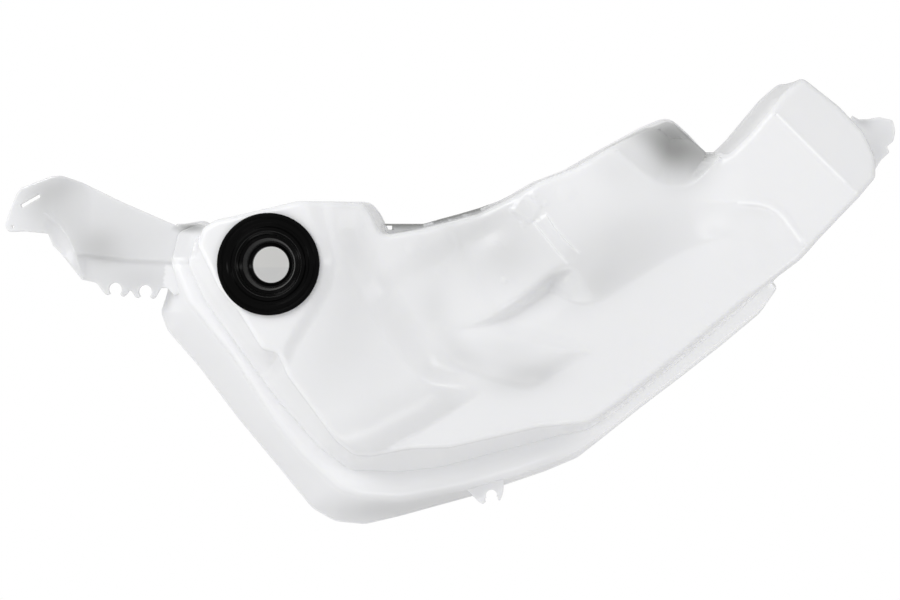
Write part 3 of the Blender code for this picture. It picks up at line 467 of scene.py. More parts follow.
def backHeight(points):
    t = tankShape
    points = np.asarray(points, float)
    tub = insideDistance(outlines["tub"], points)
    inset = np.maximum(tub - t["seam"] * 2, 0)
    reach = 1 - np.clip(inset / t["backRounding"], 0, 1)
    height = t["parting"] * (1 - np.sqrt(1 - reach ** 2))
    across = points[:, 0] - pocket["x"]
    hollow = np.sqrt(np.maximum(pocket["radius"] ** 2 - across ** 2, 0))
    hollow *= smooth((pocket["endY"] - points[:, 1]) / pocket["endSlope"] + 0.5)
    lip = t["seam"] * rise(tub, 0, 0.3)
    return np.where(tub >= 0, np.minimum(np.maximum(height, hollow), t["parting"] - lip), t["parting"])


# Surfaces over a plan

def hexGrid(low, high, spacing):
    rowHeight = spacing * math.sqrt(3) / 2
    rows = np.arange(int((high[1] - low[1]) / rowHeight) + 1)
    columns = np.arange(int((high[0] - low[0]) / spacing) + 1)
    x, row = np.meshgrid(columns * spacing, rows)
    return np.stack((low[0] + x + (row % 2) * spacing / 2, low[1] + row * rowHeight), 2).reshape(-1, 2)


def bendingPoints(outer, height, fine, levels, error):
    # a square grid of points, coarse where the surface is nearly flat and fine where it bends
    step = 2 ** (levels - 1)
    low, high = outer.min(0), outer.max(0)
    rows = (int((high[1] - low[1]) / fine) // step + 1) * step + 1
    columns = (int((high[0] - low[0]) / fine) // step + 1) * step + 1
    y, x = np.meshgrid(low[1] + np.arange(rows) * fine, low[0] + np.arange(columns) * fine, indexing="ij")
    grid = np.stack((x, y), 2).reshape(-1, 2)
    inside = insideDistance(outer, grid)
    z = np.full(len(grid), tankShape["parting"])
    z[inside > 0] = height(grid[inside > 0])
    z = z.reshape(rows, columns)
    chosen = np.zeros((rows, columns), bool)
    chosen[::step, ::step] = True
    while step > 1:
        half = step // 2
        # how far the middle of each run of the coarser grid lies from the run
        bend = np.zeros((rows, columns))
        for down, right in ((half, 0), (0, half), (half, half), (half, -half)):
            ahead = np.roll(z, (-down, -right), (0, 1))
            behind = np.roll(z, (down, right), (0, 1))
            bend = np.maximum(bend, np.abs(ahead + behind - 2 * z) / 2)
        sharp = bend > error
        wide = sharp.copy()
        for down, right in ((half, 0), (0, half), (-half, 0), (0, -half)):
            wide |= np.roll(sharp, (down, right), (0, 1))
        level = np.zeros((rows, columns), bool)
        level[::half, ::half] = True
        chosen |= level & wide
        step = half
    # very steep walls keep only the points of their rings
    steep = np.maximum(np.abs(np.roll(z, 1, 0) - np.roll(z, -1, 0)), np.abs(np.roll(z, 1, 1) - np.roll(z, -1, 1)))
    chosen &= steep / fine / 2 < 3.5
    keep = chosen.reshape(-1) & (inside > fine * 0.5)
    return grid[keep]


def rowsAlong(line, offsets, step):
    # rows of points beside a line, so that the surface follows a narrow fold
    line = np.array(line, float)
    lengths = np.concatenate(([0], np.cumsum(np.linalg.norm(np.diff(line, axis=0), axis=1))))
    stations = np.arange(0, lengths[-1], step)
    places = np.stack([np.interp(stations, lengths, line[:, i]) for i in range(2)], 1)
    ahead = np.gradient(places, axis=0)
    sideways = np.stack((-ahead[:, 1], ahead[:, 0]), 1) / np.linalg.norm(ahead, axis=1)[:, None]
    return np.concatenate([places + sideways * offset for offset in offsets])


def withRows(points, lines, clear, offsets, step):
    # the plan's own points give way to the rows beside each line
    for line in lines:
        points = points[nearRun(line, points) > clear]
        points = np.concatenate((points, rowsAlong(line, offsets, step)))
    return points


def planMesh(rings, points, clear=0.5):
    flat, edges = [], []
    for ring in rings:
        first = len(flat)
        flat.extend(map(tuple, ring))
        edges.extend((first + i, first + (i + 1) % len(ring)) for i in range(len(ring)))
    free = np.ones(len(points), bool)
    for ring in rings:
        free &= np.abs(insideDistance(ring, points)) > clear
    flat.extend(map(tuple, points[free]))
    result = delaunay_2d_cdt([tuple(map(float, p)) for p in flat], edges, [], 1, 1e-4)
    flat = np.array([tuple(p) for p in result[0]])
    faces = np.array([f for f in result[2] if len(f) == 3])
    return flat, faces[insideDistance(rings[0], flat[faces].mean(1)) > 0]


def inPart(x, y, z):
    # a place in the drawing, in the part's own metres
    return (x - partMiddle[0]) * mm, (y - partMiddle[1]) * mm, z * mm


def addVerts(bm, flat, heights):
    return [bm.verts.new(inPart(x, y, z)) for (x, y), z in zip(flat, heights)]


def turnedFaces(flat, faces, upward=True):
    # each face's corners in the order that makes it look up, or down
    spin = np.cross(flat[faces[:, 1]] - flat[faces[:, 0]], flat[faces[:, 2]] - flat[faces[:, 0]])
    return [(a, b, c) if (turn > 0) == upward else (a, c, b) for (a, b, c), turn in zip(faces, spin)]


def finishedMesh(bm, name):
    bmesh.ops.recalc_face_normals(bm, faces=bm.faces)
    mesh = bpy.data.meshes.new(name)
    bm.to_mesh(mesh)
    bm.free()
    return mesh


def dropLooseVerts(bm):
    bmesh.ops.delete(bm, geom=[v for v in bm.verts if not v.link_faces], context="VERTS")


def meshFromLayers(name, layers, rimHeight):
    # closed mesh from a front and a back layer over the same outer ring
    bm = bmesh.new()
    for flat, faces, z, onRim, upward in layers:
        verts = addVerts(bm, flat, np.where(onRim, rimHeight, z))
        for corners in turnedFaces(flat, faces, upward):
            bm.faces.new([verts[i] for i in corners])
    bmesh.ops.remove_doubles(bm, verts=bm.verts, dist=weldDistance)
    dropLooseVerts(bm)
    return finishedMesh(bm, name)


def layer(rings, points, height, upward):
    flat, faces = planMesh(rings, points)
    onRim = np.abs(insideDistance(rings[0], flat)) < rimError
    return [flat, faces, height(flat), onRim, upward]


def addPiece(name, mesh):
    thing = bpy.data.objects.new(name, mesh)
    pieces.objects.link(thing)
    return thing


# Distances between the points of the meshes' rings and grids, and rows of points beside folds
meshSteps = {"tub": 1.8, "ridge": 1.6, "valley": 1.6, "panel": 1.4, "hollow": 3.0, "hollowGrid": 4.0, "sheet": 0.7}
foldRows = {"clear": 1.6, "offsets": (-1.4, -0.7, 0.0, 0.7, 1.4), "step": 0.9}
armRows = {"clear": 1.8, "offsets": (-1.6, -0.8, 0.0, 0.8, 1.6), "step": 1.0}


def ringsOf(name, distances, step=None):
    # rings of points on an outline and inside it
    return [resample(offsetPath(outlines[name], d) if d else outlines[name], step or meshSteps[name])
            for d in distances]


def outerSkin():
    t = tankShape
    tubRings = ringsOf("tub", (0, 0.3, 0.8))
    frontRings = tubRings + ringsOf("ridge", (0,)) + ringsOf("valley", (0,))
    frontRings += ringsOf("panel", (0, 0.4, 1.1, 2.2, t["edgeRadius"]))
    points = bendingPoints(tubRings[0], frontHeight, t["fineGrid"], 3, t["flatError"])
    points = withRows(points, brightFolds, **foldRows)
    front = layer(frontRings, points, frontHeight, True)
    points = bendingPoints(tubRings[0], backHeight, t["fineGrid"] * 2, 3, t["backError"])
    back = layer(tubRings, points, backHeight, False)
    print("outer skin", len(front[1]), len(back[1]))
    return meshFromLayers("tank_skin", [front, back], t["parting"])


def innerSkin():
    # the outer surfaces moved in by the wall in every direction
    wall = tankShape["wall"]
    moves = [(0.0, 0.0)] + [(wall * reach * math.cos(math.radians(a)), wall * reach * math.sin(math.radians(a)))
                            for reach in (0.6, 0.97) for a in range(0, 360, 60)]

    def moved(height, side, choose):
        drops = [side * math.sqrt(wall ** 2 - x ** 2 - y ** 2) for x, y in moves]
        return lambda points: choose([height(points + np.array(move)) + drop for move, drop in zip(moves, drops)],
                                     axis=0)

    rings = []
    for name, distances in (("tub", (3.2,)), ("ridge", (2.0,)), ("valley", (1.6,)), ("panel", (2.0, 5.0))):
        rings += ringsOf(name, distances, meshSteps["hollow"])
    points = hexGrid(rings[0].min(0), rings[0].max(0), meshSteps["hollowGrid"])
    points = points[insideDistance(rings[0], points) > 2.0]
    layers = [layer(rings, points, moved(frontHeight, -1, np.min), True),
              layer(rings[:1], points, moved(backHeight, 1, np.max), False)]
    print("inner skin", len(layers[0][1]), len(layers[1][1]))
    return meshFromLayers("tank_hollow", layers, tankShape["parting"])


# Flat pieces that are pinched in the mould: bracket arm, flange, hose clip and end tab
sheets = {
    "thickness": 3.0, "bracket": 46.0, "flange": 43.0, "clip": 44.0, "tab": 60.0,
    "tabRise": 6.0, "tabFoldX": -238.0, "tabFoldWidth": 26.0, "facetX": -270.0, "facetFall": 0.75,
    "stepDrop": 2.4, "foldBead": 0.45, "edge": 0.9,
}
bracketOutline = [
    (-287, 71, 3), (-292, 58.5, 3), (-295, 49, 3), (-292.5, 45, 3), (-282, 45.5, 4),
    (-266.5, 44, 1), (-264, 36.5, 3), (-258.5, 30, 4), (-252, 22, 4), (-245.5, 13.5, 2),
    (-236, 11.5, 2), (-230.5, 4, 1), (-228.5, 3, 0.6), (-226.5, 4.2, 0.3), (-220.5, 4.2, 0.3),
    (-218.5, 2, 0.6), (-216.5, 3, 0.6), (-213.5, 7, 1), (-210.2, 2.2, 0.6), (-208.2, 1, 0.6),
    (-206.5, 2.4, 0.3), (-200.5, 2.4, 0.3), (-198.5, 0.5, 0.6), (-196.5, 1.6, 0.6), (-193, 8, 1),
    (-189, 8, 1), (-184, 3, 0.5), (-170, 8, 0), (-165, 30, 0), (-170, 46, 0), (-184.5, 50.5, 2),
    (-219, 65.5, 12), (-245.5, 78.5, 8), (-257.5, 82.5, 6), (-264, 82, 6), (-284, 74.5, 3),
]
bracketSlot = [(-284.8, 63.2, 0.8), (-283.6, 61.0, 0.8), (-271.2, 68.2, 0.8), (-272.3, 70.4, 0.8)]
foldRidge = [(-268, 58), (-258.5, 49.5), (-253.5, 42), (-250, 34.5), (-244, 12)]
foldStep = [(-247, 31), (-215.5, 27), (-170, 25)]
flangeOutline = [
    (-182.5, 40, 0), (-150, 40, 0), (-60, 36, 0), (-20, 38, 0), (20, 48, 0), (48, 62, 0),
    (48, 72.5, 0), (33.5, 66.5, 12), (20, 61.5, 12), (6.5, 57.5, 12), (-6.5, 54, 12),
    (-17.5, 50.8, 8), (-182.5, 50.8, 1),
]
flangeSlot = [(-47, 49.6, 0.8), (-47, 46.8, 0.8), (-38.5, 46.8, 0.8), (-38.5, 49.6, 0.8)]
clipOutline = [
    (10, -120, 0), (10.5, -126, 2), (20, -135, 1), (22.2, -136, 0.6), (24.2, -134.2, 0.6),
    (23.4, -131.6, 0.3), (32.2, -131.2, 0.3), (32, -133.6, 0.6), (33.8, -133.4, 0.6), (35.5, -127.5, 2),
    (36.5, -112, 0),
]
tabOutline = [
    (258, 108, 0), (264, 121, 0), (268, 118.5, 1), (273.5, 118.6, 3), (281.5, 120, 5),
    (290.5, 118, 2), (292.2, 111, 3), (291, 104.5, 3), (286.5, 100.5, 1.5), (288.5, 97, 1.5),
    (282.5, 91.5, 3), (278, 84, 1), (265, 84, 0),
]


def bracketHeight(points):
    s = sheets
    x, toFold = points[:, 0], lineDistance(foldRidge, points)
    height = s["bracket"] + s["tabRise"] * fall(x, s["tabFoldX"], s["tabFoldWidth"])
    facet = softPositive(-toFold, 0.8) * rise(x, s["facetX"], 16)
    height = height - s["facetFall"] * np.minimum(facet, 16) + s["foldBead"] * bead(toFold, 0, 1.1)
    step = smooth(-lineDistance(foldStep, points) / 4 + 0.3)
    return height - s["stepDrop"] * step * rise(x, -252, 10)


def sheetMesh(name, corners, height, fine, lines=()):
    s = sheets
    outline = resample(arcPath(corners, 2.0), meshSteps["sheet"])
    rings = [outline] + [resample(offsetPath(outline, d), meshSteps["sheet"]) for d in (0.25, s["edge"])]
    points = hexGrid(outline.min(0), outline.max(0), fine)
    flat, faces = planMesh(rings, withRows(points, lines, **armRows))
    inside = np.clip(insideDistance(outline, flat) / s["edge"], 0, 1)
    drop = s["edge"] * (1 - np.sqrt(1 - (1 - inside) ** 2))
    top = height(flat)
    bm = bmesh.new()
    upper, lower = (addVerts(bm, flat, z) for z in (top - drop, top - s["thickness"] + drop))
    for corners in turnedFaces(flat, faces):
        bm.faces.new([upper[i] for i in corners])
        bm.faces.new([lower[i] for i in corners[::-1]])
    rimEdges = [e for e in bm.edges if len(e.link_faces) == 1]
    bm.verts.index_update()
    for edge in rimEdges:
        if max(vert.index for vert in edge.verts) < len(flat):
            loop = next(l for l in edge.link_faces[0].loops if l.edge == edge)
            first, second = loop.vert.index, loop.link_loop_next.vert.index
            bm.faces.new([upper[second], upper[first], lower[first], lower[second]])
    dropLooseVerts(bm)
    bmesh.ops.triangulate(bm, faces=bm.faces)
    return finishedMesh(bm, name)


def levelAt(z):
    return lambda points: np.full(len(points), z)


def boreTool(radius, centre, length, along, sides):
    bpy.ops.mesh.primitive_cylinder_add(vertices=sides, radius=radius * mm, depth=length * mm)
    thing = bpy.context.active_object
    thing.name = "boreTool"
    turn = Matrix.Rotation(math.pi / 2, 4, "X") if along == "y" else Matrix.Identity(4)
    thing.data.transform(Matrix.Translation(Vector(inPart(*centre))) @ turn)
    return thing


def slotTool(corners, z, height=12):
    bm = bmesh.new()
    outline = arcPath(corners, 1.0)
    face = bm.faces.new(addVerts(bm, outline, [z - height / 2] * len(outline)))
    grown = bmesh.ops.extrude_face_region(bm, geom=[face])["geom"]
    bmesh.ops.translate(bm, verts=[v for v in grown if isinstance(v, bmesh.types.BMVert)], vec=(0, 0, height * mm))
    return addPiece("slotTool", finishedMesh(bm, "slotTool"))


def plainMesh(thing):
    # what the modifiers make of a piece, which then loses them
    graph = bpy.context.evaluated_depsgraph_get()
    mesh = bpy.data.meshes.new_from_object(thing.evaluated_get(graph), depsgraph=graph)
    thing.modifiers.clear()
    return mesh


def joinWith(target, operation, tools):
    for tool in tools:
        cut = target.modifiers.new(operation, "BOOLEAN")
        cut.operation = operation
        cut.solver = "MANIFOLD"
        cut.object = tool
    target.data = plainMesh(target)
    for tool in tools:
        bpy.data.objects.remove(tool)


filler = {"x": -114.0, "y": 22.5, "holeRadius": 23.2}
# Round holes: radius, middle, length, axis and number of sides. Filler, pump port, pin hole and the hose clips
bores = [
    (filler["holeRadius"], (filler["x"], filler["y"], tankShape["neck"]), 24, "z", 160),
    (pocket["portRadius"], (pocket["x"], pocket["endY"], pocket["portZ"]), 24, "y", 96),
    (1.0, (-289.5, 48.5, 50.5), 11, "z", 32),
    (4.4, (-223.5, 7.2, 40.5), 11, "z", 64), (4.4, (-203.5, 5.6, 40.5), 11, "z", 64),
    (3.7, (27.6, -130.0, 45.5), 11, "z", 64),
]


def buildTank():
    tank = addPiece("tank_skin", outerSkin())
    s = sheets
    added = [addPiece("arm", sheetMesh("arm", bracketOutline, bracketHeight, 1.6, (foldRidge, foldStep)))]
    for name, outline, level, fine in (("flange", flangeOutline, "flange", 4.0), ("clip", clipOutline, "clip", 2.0),
                                       ("endTab", tabOutline, "tab", 2.0)):
        added.append(addPiece(name, sheetMesh(name, outline, levelAt(s[level] + s["thickness"]), fine)))
    joinWith(tank, "UNION", added)
    print("sheets joined", len(tank.data.polygons))
    cuts = [addPiece("hollow", innerSkin())] + [boreTool(*bore) for bore in bores]
    cuts += [slotTool(bracketSlot, 50.5), slotTool(flangeSlot, 44.5)]
    joinWith(tank, "DIFFERENCE", cuts)
    # rounded corners may stand out of the CAD box by a few hundredths
    places = np.empty(len(tank.data.vertices) * 3)
    tank.data.vertices.foreach_get("co", places)
    places = np.clip(places.reshape(-1, 3), np.array(cadBox[0]), np.array(cadBox[1]))
    tank.data.vertices.foreach_set("co", places.reshape(-1))
    tank.data.shade_smooth()
    tank.data.set_sharp_from_angle(angle=math.radians(38))
    print("tank", len(tank.data.polygons))
    return tank


tank = buildTank()


# Rubber grommet turned by Geometry Nodes from its half section
grommetShape = {"flangeRadius": 32.2, "flangeThickness": 3.0, "beadRadius": 21.6, "boreRadius": 11.5,
                "funnelDepth": 13.0, "lipRadius": 26.0, "gap": 0.3, "seat": 108.0, "pathRadius": 20.0, "segments": 160}


def grommetSection():
    g = grommetShape
    top = g["flangeThickness"] + g["gap"]
    groove = filler["holeRadius"] - g["gap"]
    under = -tankShape["wall"] - g["gap"]
    throat = -g["funnelDepth"]
    flange, bead, bore, lip = g["flangeRadius"], g["beadRadius"], g["boreRadius"], g["lipRadius"]
    return [
        (flange - 0.5, 0.3, 0.2), (flange, 0.3, 0.6), (flange, top - 0.2, 1.0), (flange - 2.4, top, 0.6),
        (flange - 2.7, top - 0.55, 0.2), (flange - 3.3, top - 0.6, 0.2), (flange - 3.7, top - 0.2, 0.3),
        (bead + 4.6, top - 0.2, 0.5), (bead + 3.6, top - 0.9, 0.4), (bead + 2.2, top - 0.9, 0.4),
        (bead + 1.2, top + 0.7, 0.8), (bead - 0.6, top + 0.7, 0.8), (bead - 1.4, top - 1.4, 0.5),
        (bead - 2.6, top - 2.0, 0.5), (bead - 3.0, top - 4.2, 0.5), (bead - 5.0, top - 5.4, 1.0),
        (bore + 2.6, throat + 2.6, 2.0), (bore + 0.4, throat + 1.2, 0.5), (bore, throat, 0.5),
        (bore, throat - 3.4, 0.5), (bore + 1.8, throat - 3.6, 0.5), (bore + 3.2, throat - 2.6, 1.0),
        (bore + 5.5, throat + 2.0, 1.5), (groove - 2.6, under - 5.0, 1.5), (lip - 2.4, under - 4.2, 0.8),
        (lip, under - 1.0, 0.5), (lip - 0.4, under, 0.3), (groove, under, 0.1), (groove, 0.3, 0.1),
    ]


def newTree(name, kind, inputs, outputs, nodeKinds):
    # a node group with its sockets and nodes; its own input and output come first
    tree = bpy.data.node_groups.new(name, kind)
    for direction, sockets in (("INPUT", inputs), ("OUTPUT", outputs)):
        for socket, value in sockets:
            tree.interface.new_socket(socket, in_out=direction, socket_type="NodeSocket" + value)
    return tree, [tree.nodes.new(nodeKind) for nodeKind in ("NodeGroupInput", "NodeGroupOutput") + nodeKinds]


def linkAll(tree, links):
    for source, output, target, socket in links:
        tree.links.new(source.outputs[output], target.inputs[socket])
    return tree


def turnedTree():
    # a closed section in the XZ plane swept round the Z axis
    tree, (given, result, toCurve, circle, sweep, realize, paint) = newTree(
        "turned ring", "GeometryNodeTree",
        (("Geometry", "Geometry"), ("Segments", "Int"), ("Path Radius", "Float"), ("Material", "Material")),
        (("Geometry", "Geometry"),),
        ("GeometryNodeMeshToCurve", "GeometryNodeCurvePrimitiveCircle", "GeometryNodeCurveToMesh",
         "GeometryNodeRealizeInstances", "GeometryNodeSetMaterial"))
    return linkAll(tree, (
        (given, "Geometry", toCurve, "Mesh"), (given, "Segments", circle, "Resolution"),
        (given, "Path Radius", circle, "Radius"), (circle, "Curve", sweep, "Curve"),
        (toCurve, "Curve", sweep, "Profile Curve"), (sweep, "Mesh", realize, "Geometry"),
        (realize, "Geometry", paint, "Geometry"), (given, "Material", paint, "Material"),
        (paint, "Geometry", result, "Geometry")))


def setInput(modifier, name, value):
    socket = next(item for item in modifier.node_group.interface.items_tree
                  if item.item_type == "SOCKET" and item.in_out == "INPUT" and item.name == name)
    modifier[socket.identifier] = value


def buildGrommet(material):
    g = grommetShape
    section = arcPath(grommetSection(), 3.0)
    # the sweep lays a section's X outwards and its Y down the axis
    mesh = bpy.data.meshes.new("grommet_section")
    mesh.from_pydata([((r - g["pathRadius"]) * mm, -z * mm, 0) for r, z in section],
                     [(i, (i + 1) % len(section)) for i in range(len(section))], [])
    source = addPiece("grommet_section", mesh)
    turned = source.modifiers.new("turned", "NODES")
    turned.node_group = turnedTree()
    setInput(turned, "Segments", g["segments"])
    setInput(turned, "Path Radius", g["pathRadius"] * mm)
    setInput(turned, "Material", material)
    mesh = plainMesh(source)
    bpy.data.objects.remove(source)
    bm = bmesh.new()
    bm.from_mesh(mesh)
    bmesh.ops.remove_doubles(bm, verts=bm.verts, dist=weldDistance)
    bmesh.ops.recalc_face_normals(bm, faces=bm.faces)
    heights = [v.co.z / mm for v in bm.verts]
    print("grommet section stands from", round(min(heights), 2), "to", round(max(heights), 2))
    bmesh.ops.translate(bm, verts=bm.verts, vec=Vector(inPart(filler["x"], filler["y"], g["seat"])))
    bm.to_mesh(mesh)
    bm.free()
    mesh.shade_smooth()
    mesh.set_sharp_from_angle(angle=math.radians(50))
    return addPiece("filler_grommet_rubber", mesh)


# Materials

def newMaterial(name):
    material = bpy.data.materials.new(name)
    material.use_nodes = True
    nodes = material.node_tree.nodes
    return material, nodes, material.node_tree.links, nodes["Principled BSDF"]


def unevenGroup():
    # uneven sheen and fine moulding grain, used by both materials
    tree, (given, result, place, patches, grain, centred, sheen) = newTree(
        "uneven surface", "ShaderNodeTree",
        [(name, "Float") for name in ("Patch Scale", "Grain Scale", "Middle", "Spread")],
        [(name, "Float") for name in ("Patches", "Sheen", "Grain")],
        ("ShaderNodeTexCoord", "ShaderNodeTexNoise", "ShaderNodeTexNoise", "ShaderNodeMath", "ShaderNodeMath"))
    patches.inputs["Detail"].default_value = 3.0
    grain.inputs["Detail"].default_value = 2.0
    centred.operation, sheen.operation = "SUBTRACT", "MULTIPLY_ADD"
    centred.inputs[1].default_value = 0.5
    return linkAll(tree, (
        (place, "Object", patches, "Vector"), (place, "Object", grain, "Vector"),
        (given, "Patch Scale", patches, "Scale"), (given, "Grain Scale", grain, "Scale"),
        (patches, "Fac", centred, 0), (centred, 0, sheen, 0), (given, "Spread", sheen, 1),
        (given, "Middle", sheen, 2), (patches, "Fac", result, "Patches"), (sheen, 0, result, "Sheen"),
        (grain, "Fac", result, "Grain")))


uneven = unevenGroup()


def placeUneven(nodes, links, shader, look):
    # sheen and grain for a material; gives back the mask of its cloudy patches
    group, bump = nodes.new("ShaderNodeGroup"), nodes.new("ShaderNodeBump")
    group.node_tree = uneven
    for socket, value in (("Patch Scale", "patchScale"), ("Grain Scale", "grainScale"), ("Middle", "roughness"),
                          ("Spread", "sheenSpread")):
        group.inputs[socket].default_value = look[value]
    bump.inputs["Distance"].default_value = look["grainHeight"]
    links.new(group.outputs["Grain"], bump.inputs["Height"])
    links.new(bump.outputs["Normal"], shader.inputs["Normal"])
    links.new(group.outputs["Sheen"], shader.inputs["Roughness"])
    return group.outputs["Patches"]


def mixColour(nodes, links, factor, first, second, blend="MIX"):
    mix = nodes.new("ShaderNodeMix")
    mix.data_type = "RGBA"
    mix.blend_type = blend
    for socket, value in ((mix.inputs[0], factor), (mix.inputs[6], first), (mix.inputs[7], second)):
        if isinstance(value, (tuple, float)):
            socket.default_value = value
        else:
            links.new(value, socket)
    return mix.outputs[2]


def readAttribute(nodes, name):
    attribute = nodes.new("ShaderNodeAttribute")
    attribute.attribute_name = name
    return attribute.outputs["Fac"]


plasticLook = {
    "full": (0.885, 0.888, 0.899, 1), "thin": (0.30, 0.303, 0.296, 1), "cloudy": (0.975, 0.975, 0.98, 1),
    "inside": (0.5, 0.499, 0.493, 1), "insideLow": (0.475, 0.476, 0.475, 1), "insideLine": 0.0246,
    "insideBlur": 0.0012, "glowStrength": 0.64, "through": (0.21, 0.21, 0.208, 1), "roughness": 0.24,
    "sheenSpread": 0.1, "patchScale": 14.0, "grainScale": 700.0, "grainHeight": 0.00002, "scatterDepth": 0.0025,
}


def whitePlastic():
    # milky polyethylene: greyer where painted shade is marked, with a faint painted glow and highlights, and an inner
    # wall that glows as painted light
    look = plasticLook
    material, nodes, links, shader = newMaterial("white_polyethylene")
    patches = placeUneven(nodes, links, shader, look)
    cloudy = mixColour(nodes, links, patches, (1.0, 1.0, 1.0, 1), look["cloudy"])
    # painted shade: the attribute greys the plastic's colour
    wall = mixColour(nodes, links, readAttribute(nodes, "thinWall"), look["full"], look["thin"])
    colour = mixColour(nodes, links, 1.0, wall, cloudy, "MULTIPLY")
    inside = readAttribute(nodes, "insideWall")
    # the lower half of the back wall inside is a little darker
    place, split, above = (nodes.new("ShaderNode" + kind) for kind in ("TexCoord", "SeparateXYZ", "MapRange"))
    links.new(place.outputs["Object"], split.inputs["Vector"])
    links.new(split.outputs["Y"], above.inputs["Value"])
    above.inputs["From Min"].default_value = look["insideLine"]
    above.inputs["From Max"].default_value = look["insideLine"] + look["insideBlur"]
    innerColour = mixColour(nodes, links, above.outputs["Result"], look["insideLow"], look["inside"])
    links.new(mixColour(nodes, links, inside, colour, innerColour), shader.inputs["Base Color"])
    # painted glow and highlights, from their attribute
    glow = mixColour(nodes, links, readAttribute(nodes, "paintedGlow"), (0.0, 0.0, 0.0, 1), look["through"])
    # the inner wall glows with its own grey, painted light for the hollow
    links.new(mixColour(nodes, links, inside, glow, innerColour), shader.inputs["Emission Color"])
    for name, value in (("Emission Strength", look["glowStrength"]), ("IOR", 1.5), ("Subsurface Weight", 1.0),
                        ("Subsurface Radius", (1.0, 1.0, 0.95)), ("Subsurface Scale", look["scatterDepth"])):
        shader.inputs[name].default_value = value
    return material


rubberLook = {
    "colour": (0.0008, 0.0008, 0.0009, 1), "worn": (0.002, 0.002, 0.002, 1), "roughness": 0.17, "sheenSpread": 0.12,
    "patchScale": 60.0, "grainScale": 2400.0, "grainHeight": 0.00001, "shine": 0.07,
}


def blackRubber():
    look = rubberLook
    material, nodes, links, shader = newMaterial("black_rubber")
    patches = placeUneven(nodes, links, shader, look)
    links.new(mixColour(nodes, links, patches, look["colour"], look["worn"]), shader.inputs["Base Color"])
    shader.inputs["Specular IOR Level"].default_value = look["shine"]
    return material


# Soft spots of painted shade, set against the photo: x, y, two radii, the first one's angle and how much greyer; a
# negative amount paints light
sheetShadeSpots = [
    (-264, 74, 18, 10, 20, 0.22), (-268, 60, 14, 16, 0, 0.16), (-234, 36, 14, 11, 0, 0.2), (-228, 28, 14, 4, 0, 0.08),
    (-205, 12, 24, 10, 0, 0.1), (-232, 44, 70, 60, 0, 0.23), (-258, 34, 9, 13, 20, -0.14), (267, 120, 8, 8, 0, 0.45),
    (285, 105, 14, 14, 0, 0.12), (27, -130, 10, 10, 0, 0.1),
]
bodyShadeSpots = [
    (-56, -24, 50, 66, 0, 0.13), (-50, 42, 34, 14, 0, 0.03), (-66, 22, 14, 26, 0, 0.08), (-8, 28, 26, 26, 0, 0.1),
    (-150, -50, 60, 20, -50, 0.05), (24, 48, 34, 14, 25, 0.18), (36, 28, 26, 18, 30, 0.18),
    (100, 36, 46, 27, 25, 0.16), (92, 8, 26, 11, 30, 0.09), (68, 14, 15, 6, 33, 0.1), (36, -34, 24, 14, 0, 0.08),
    (48, -50, 22, 9, 10, 0.2), (147, 93, 18, 18, 0, 0.54), (-10, -4, 9, 14, 0, 0.08), (0, -26, 8, 14, 30, 0.08),
    (14, -40, 14, 7, -38, 0.08), (106, 84, 20, 14, -40, 0.1), (70, -45, 120, 48, 30, 0.06),
    (-50, -141, 32, 9, 0, 0.2), (-4, -132, 34, 9, 10, 0.2), (-173, 48.5, 12, 3.5, 0, 0.8),
]
# How much painted shade greys whole stretches, and how much of the full painted glow others have
paintedShadeShares = {"flange": 1.0, "topWall": 0.3, "wedge": 0.7, "blockWall": 0.14, "scoop": 0.5, "valley": 0.025}
scoopShade = {"start": 8.0, "depth": 34.0}
glowShares = {"ridge": 0.25, "rightStrip": 1.0, "leftWall": 0.42, "bottomWall": 0.14, "edge": 0.65, "fold": 0.75}


def softSpots(spots, points):
    amount = np.zeros(len(points))
    for x, y, across, up, angle, strength in spots:
        turn = math.radians(angle)
        away = points - np.array((x, y))
        first = (away[:, 0] * math.cos(turn) + away[:, 1] * math.sin(turn)) / across
        second = (away[:, 1] * math.cos(turn) - away[:, 0] * math.sin(turn)) / up
        amount += strength * np.exp(-first ** 2 - second ** 2)
    return amount


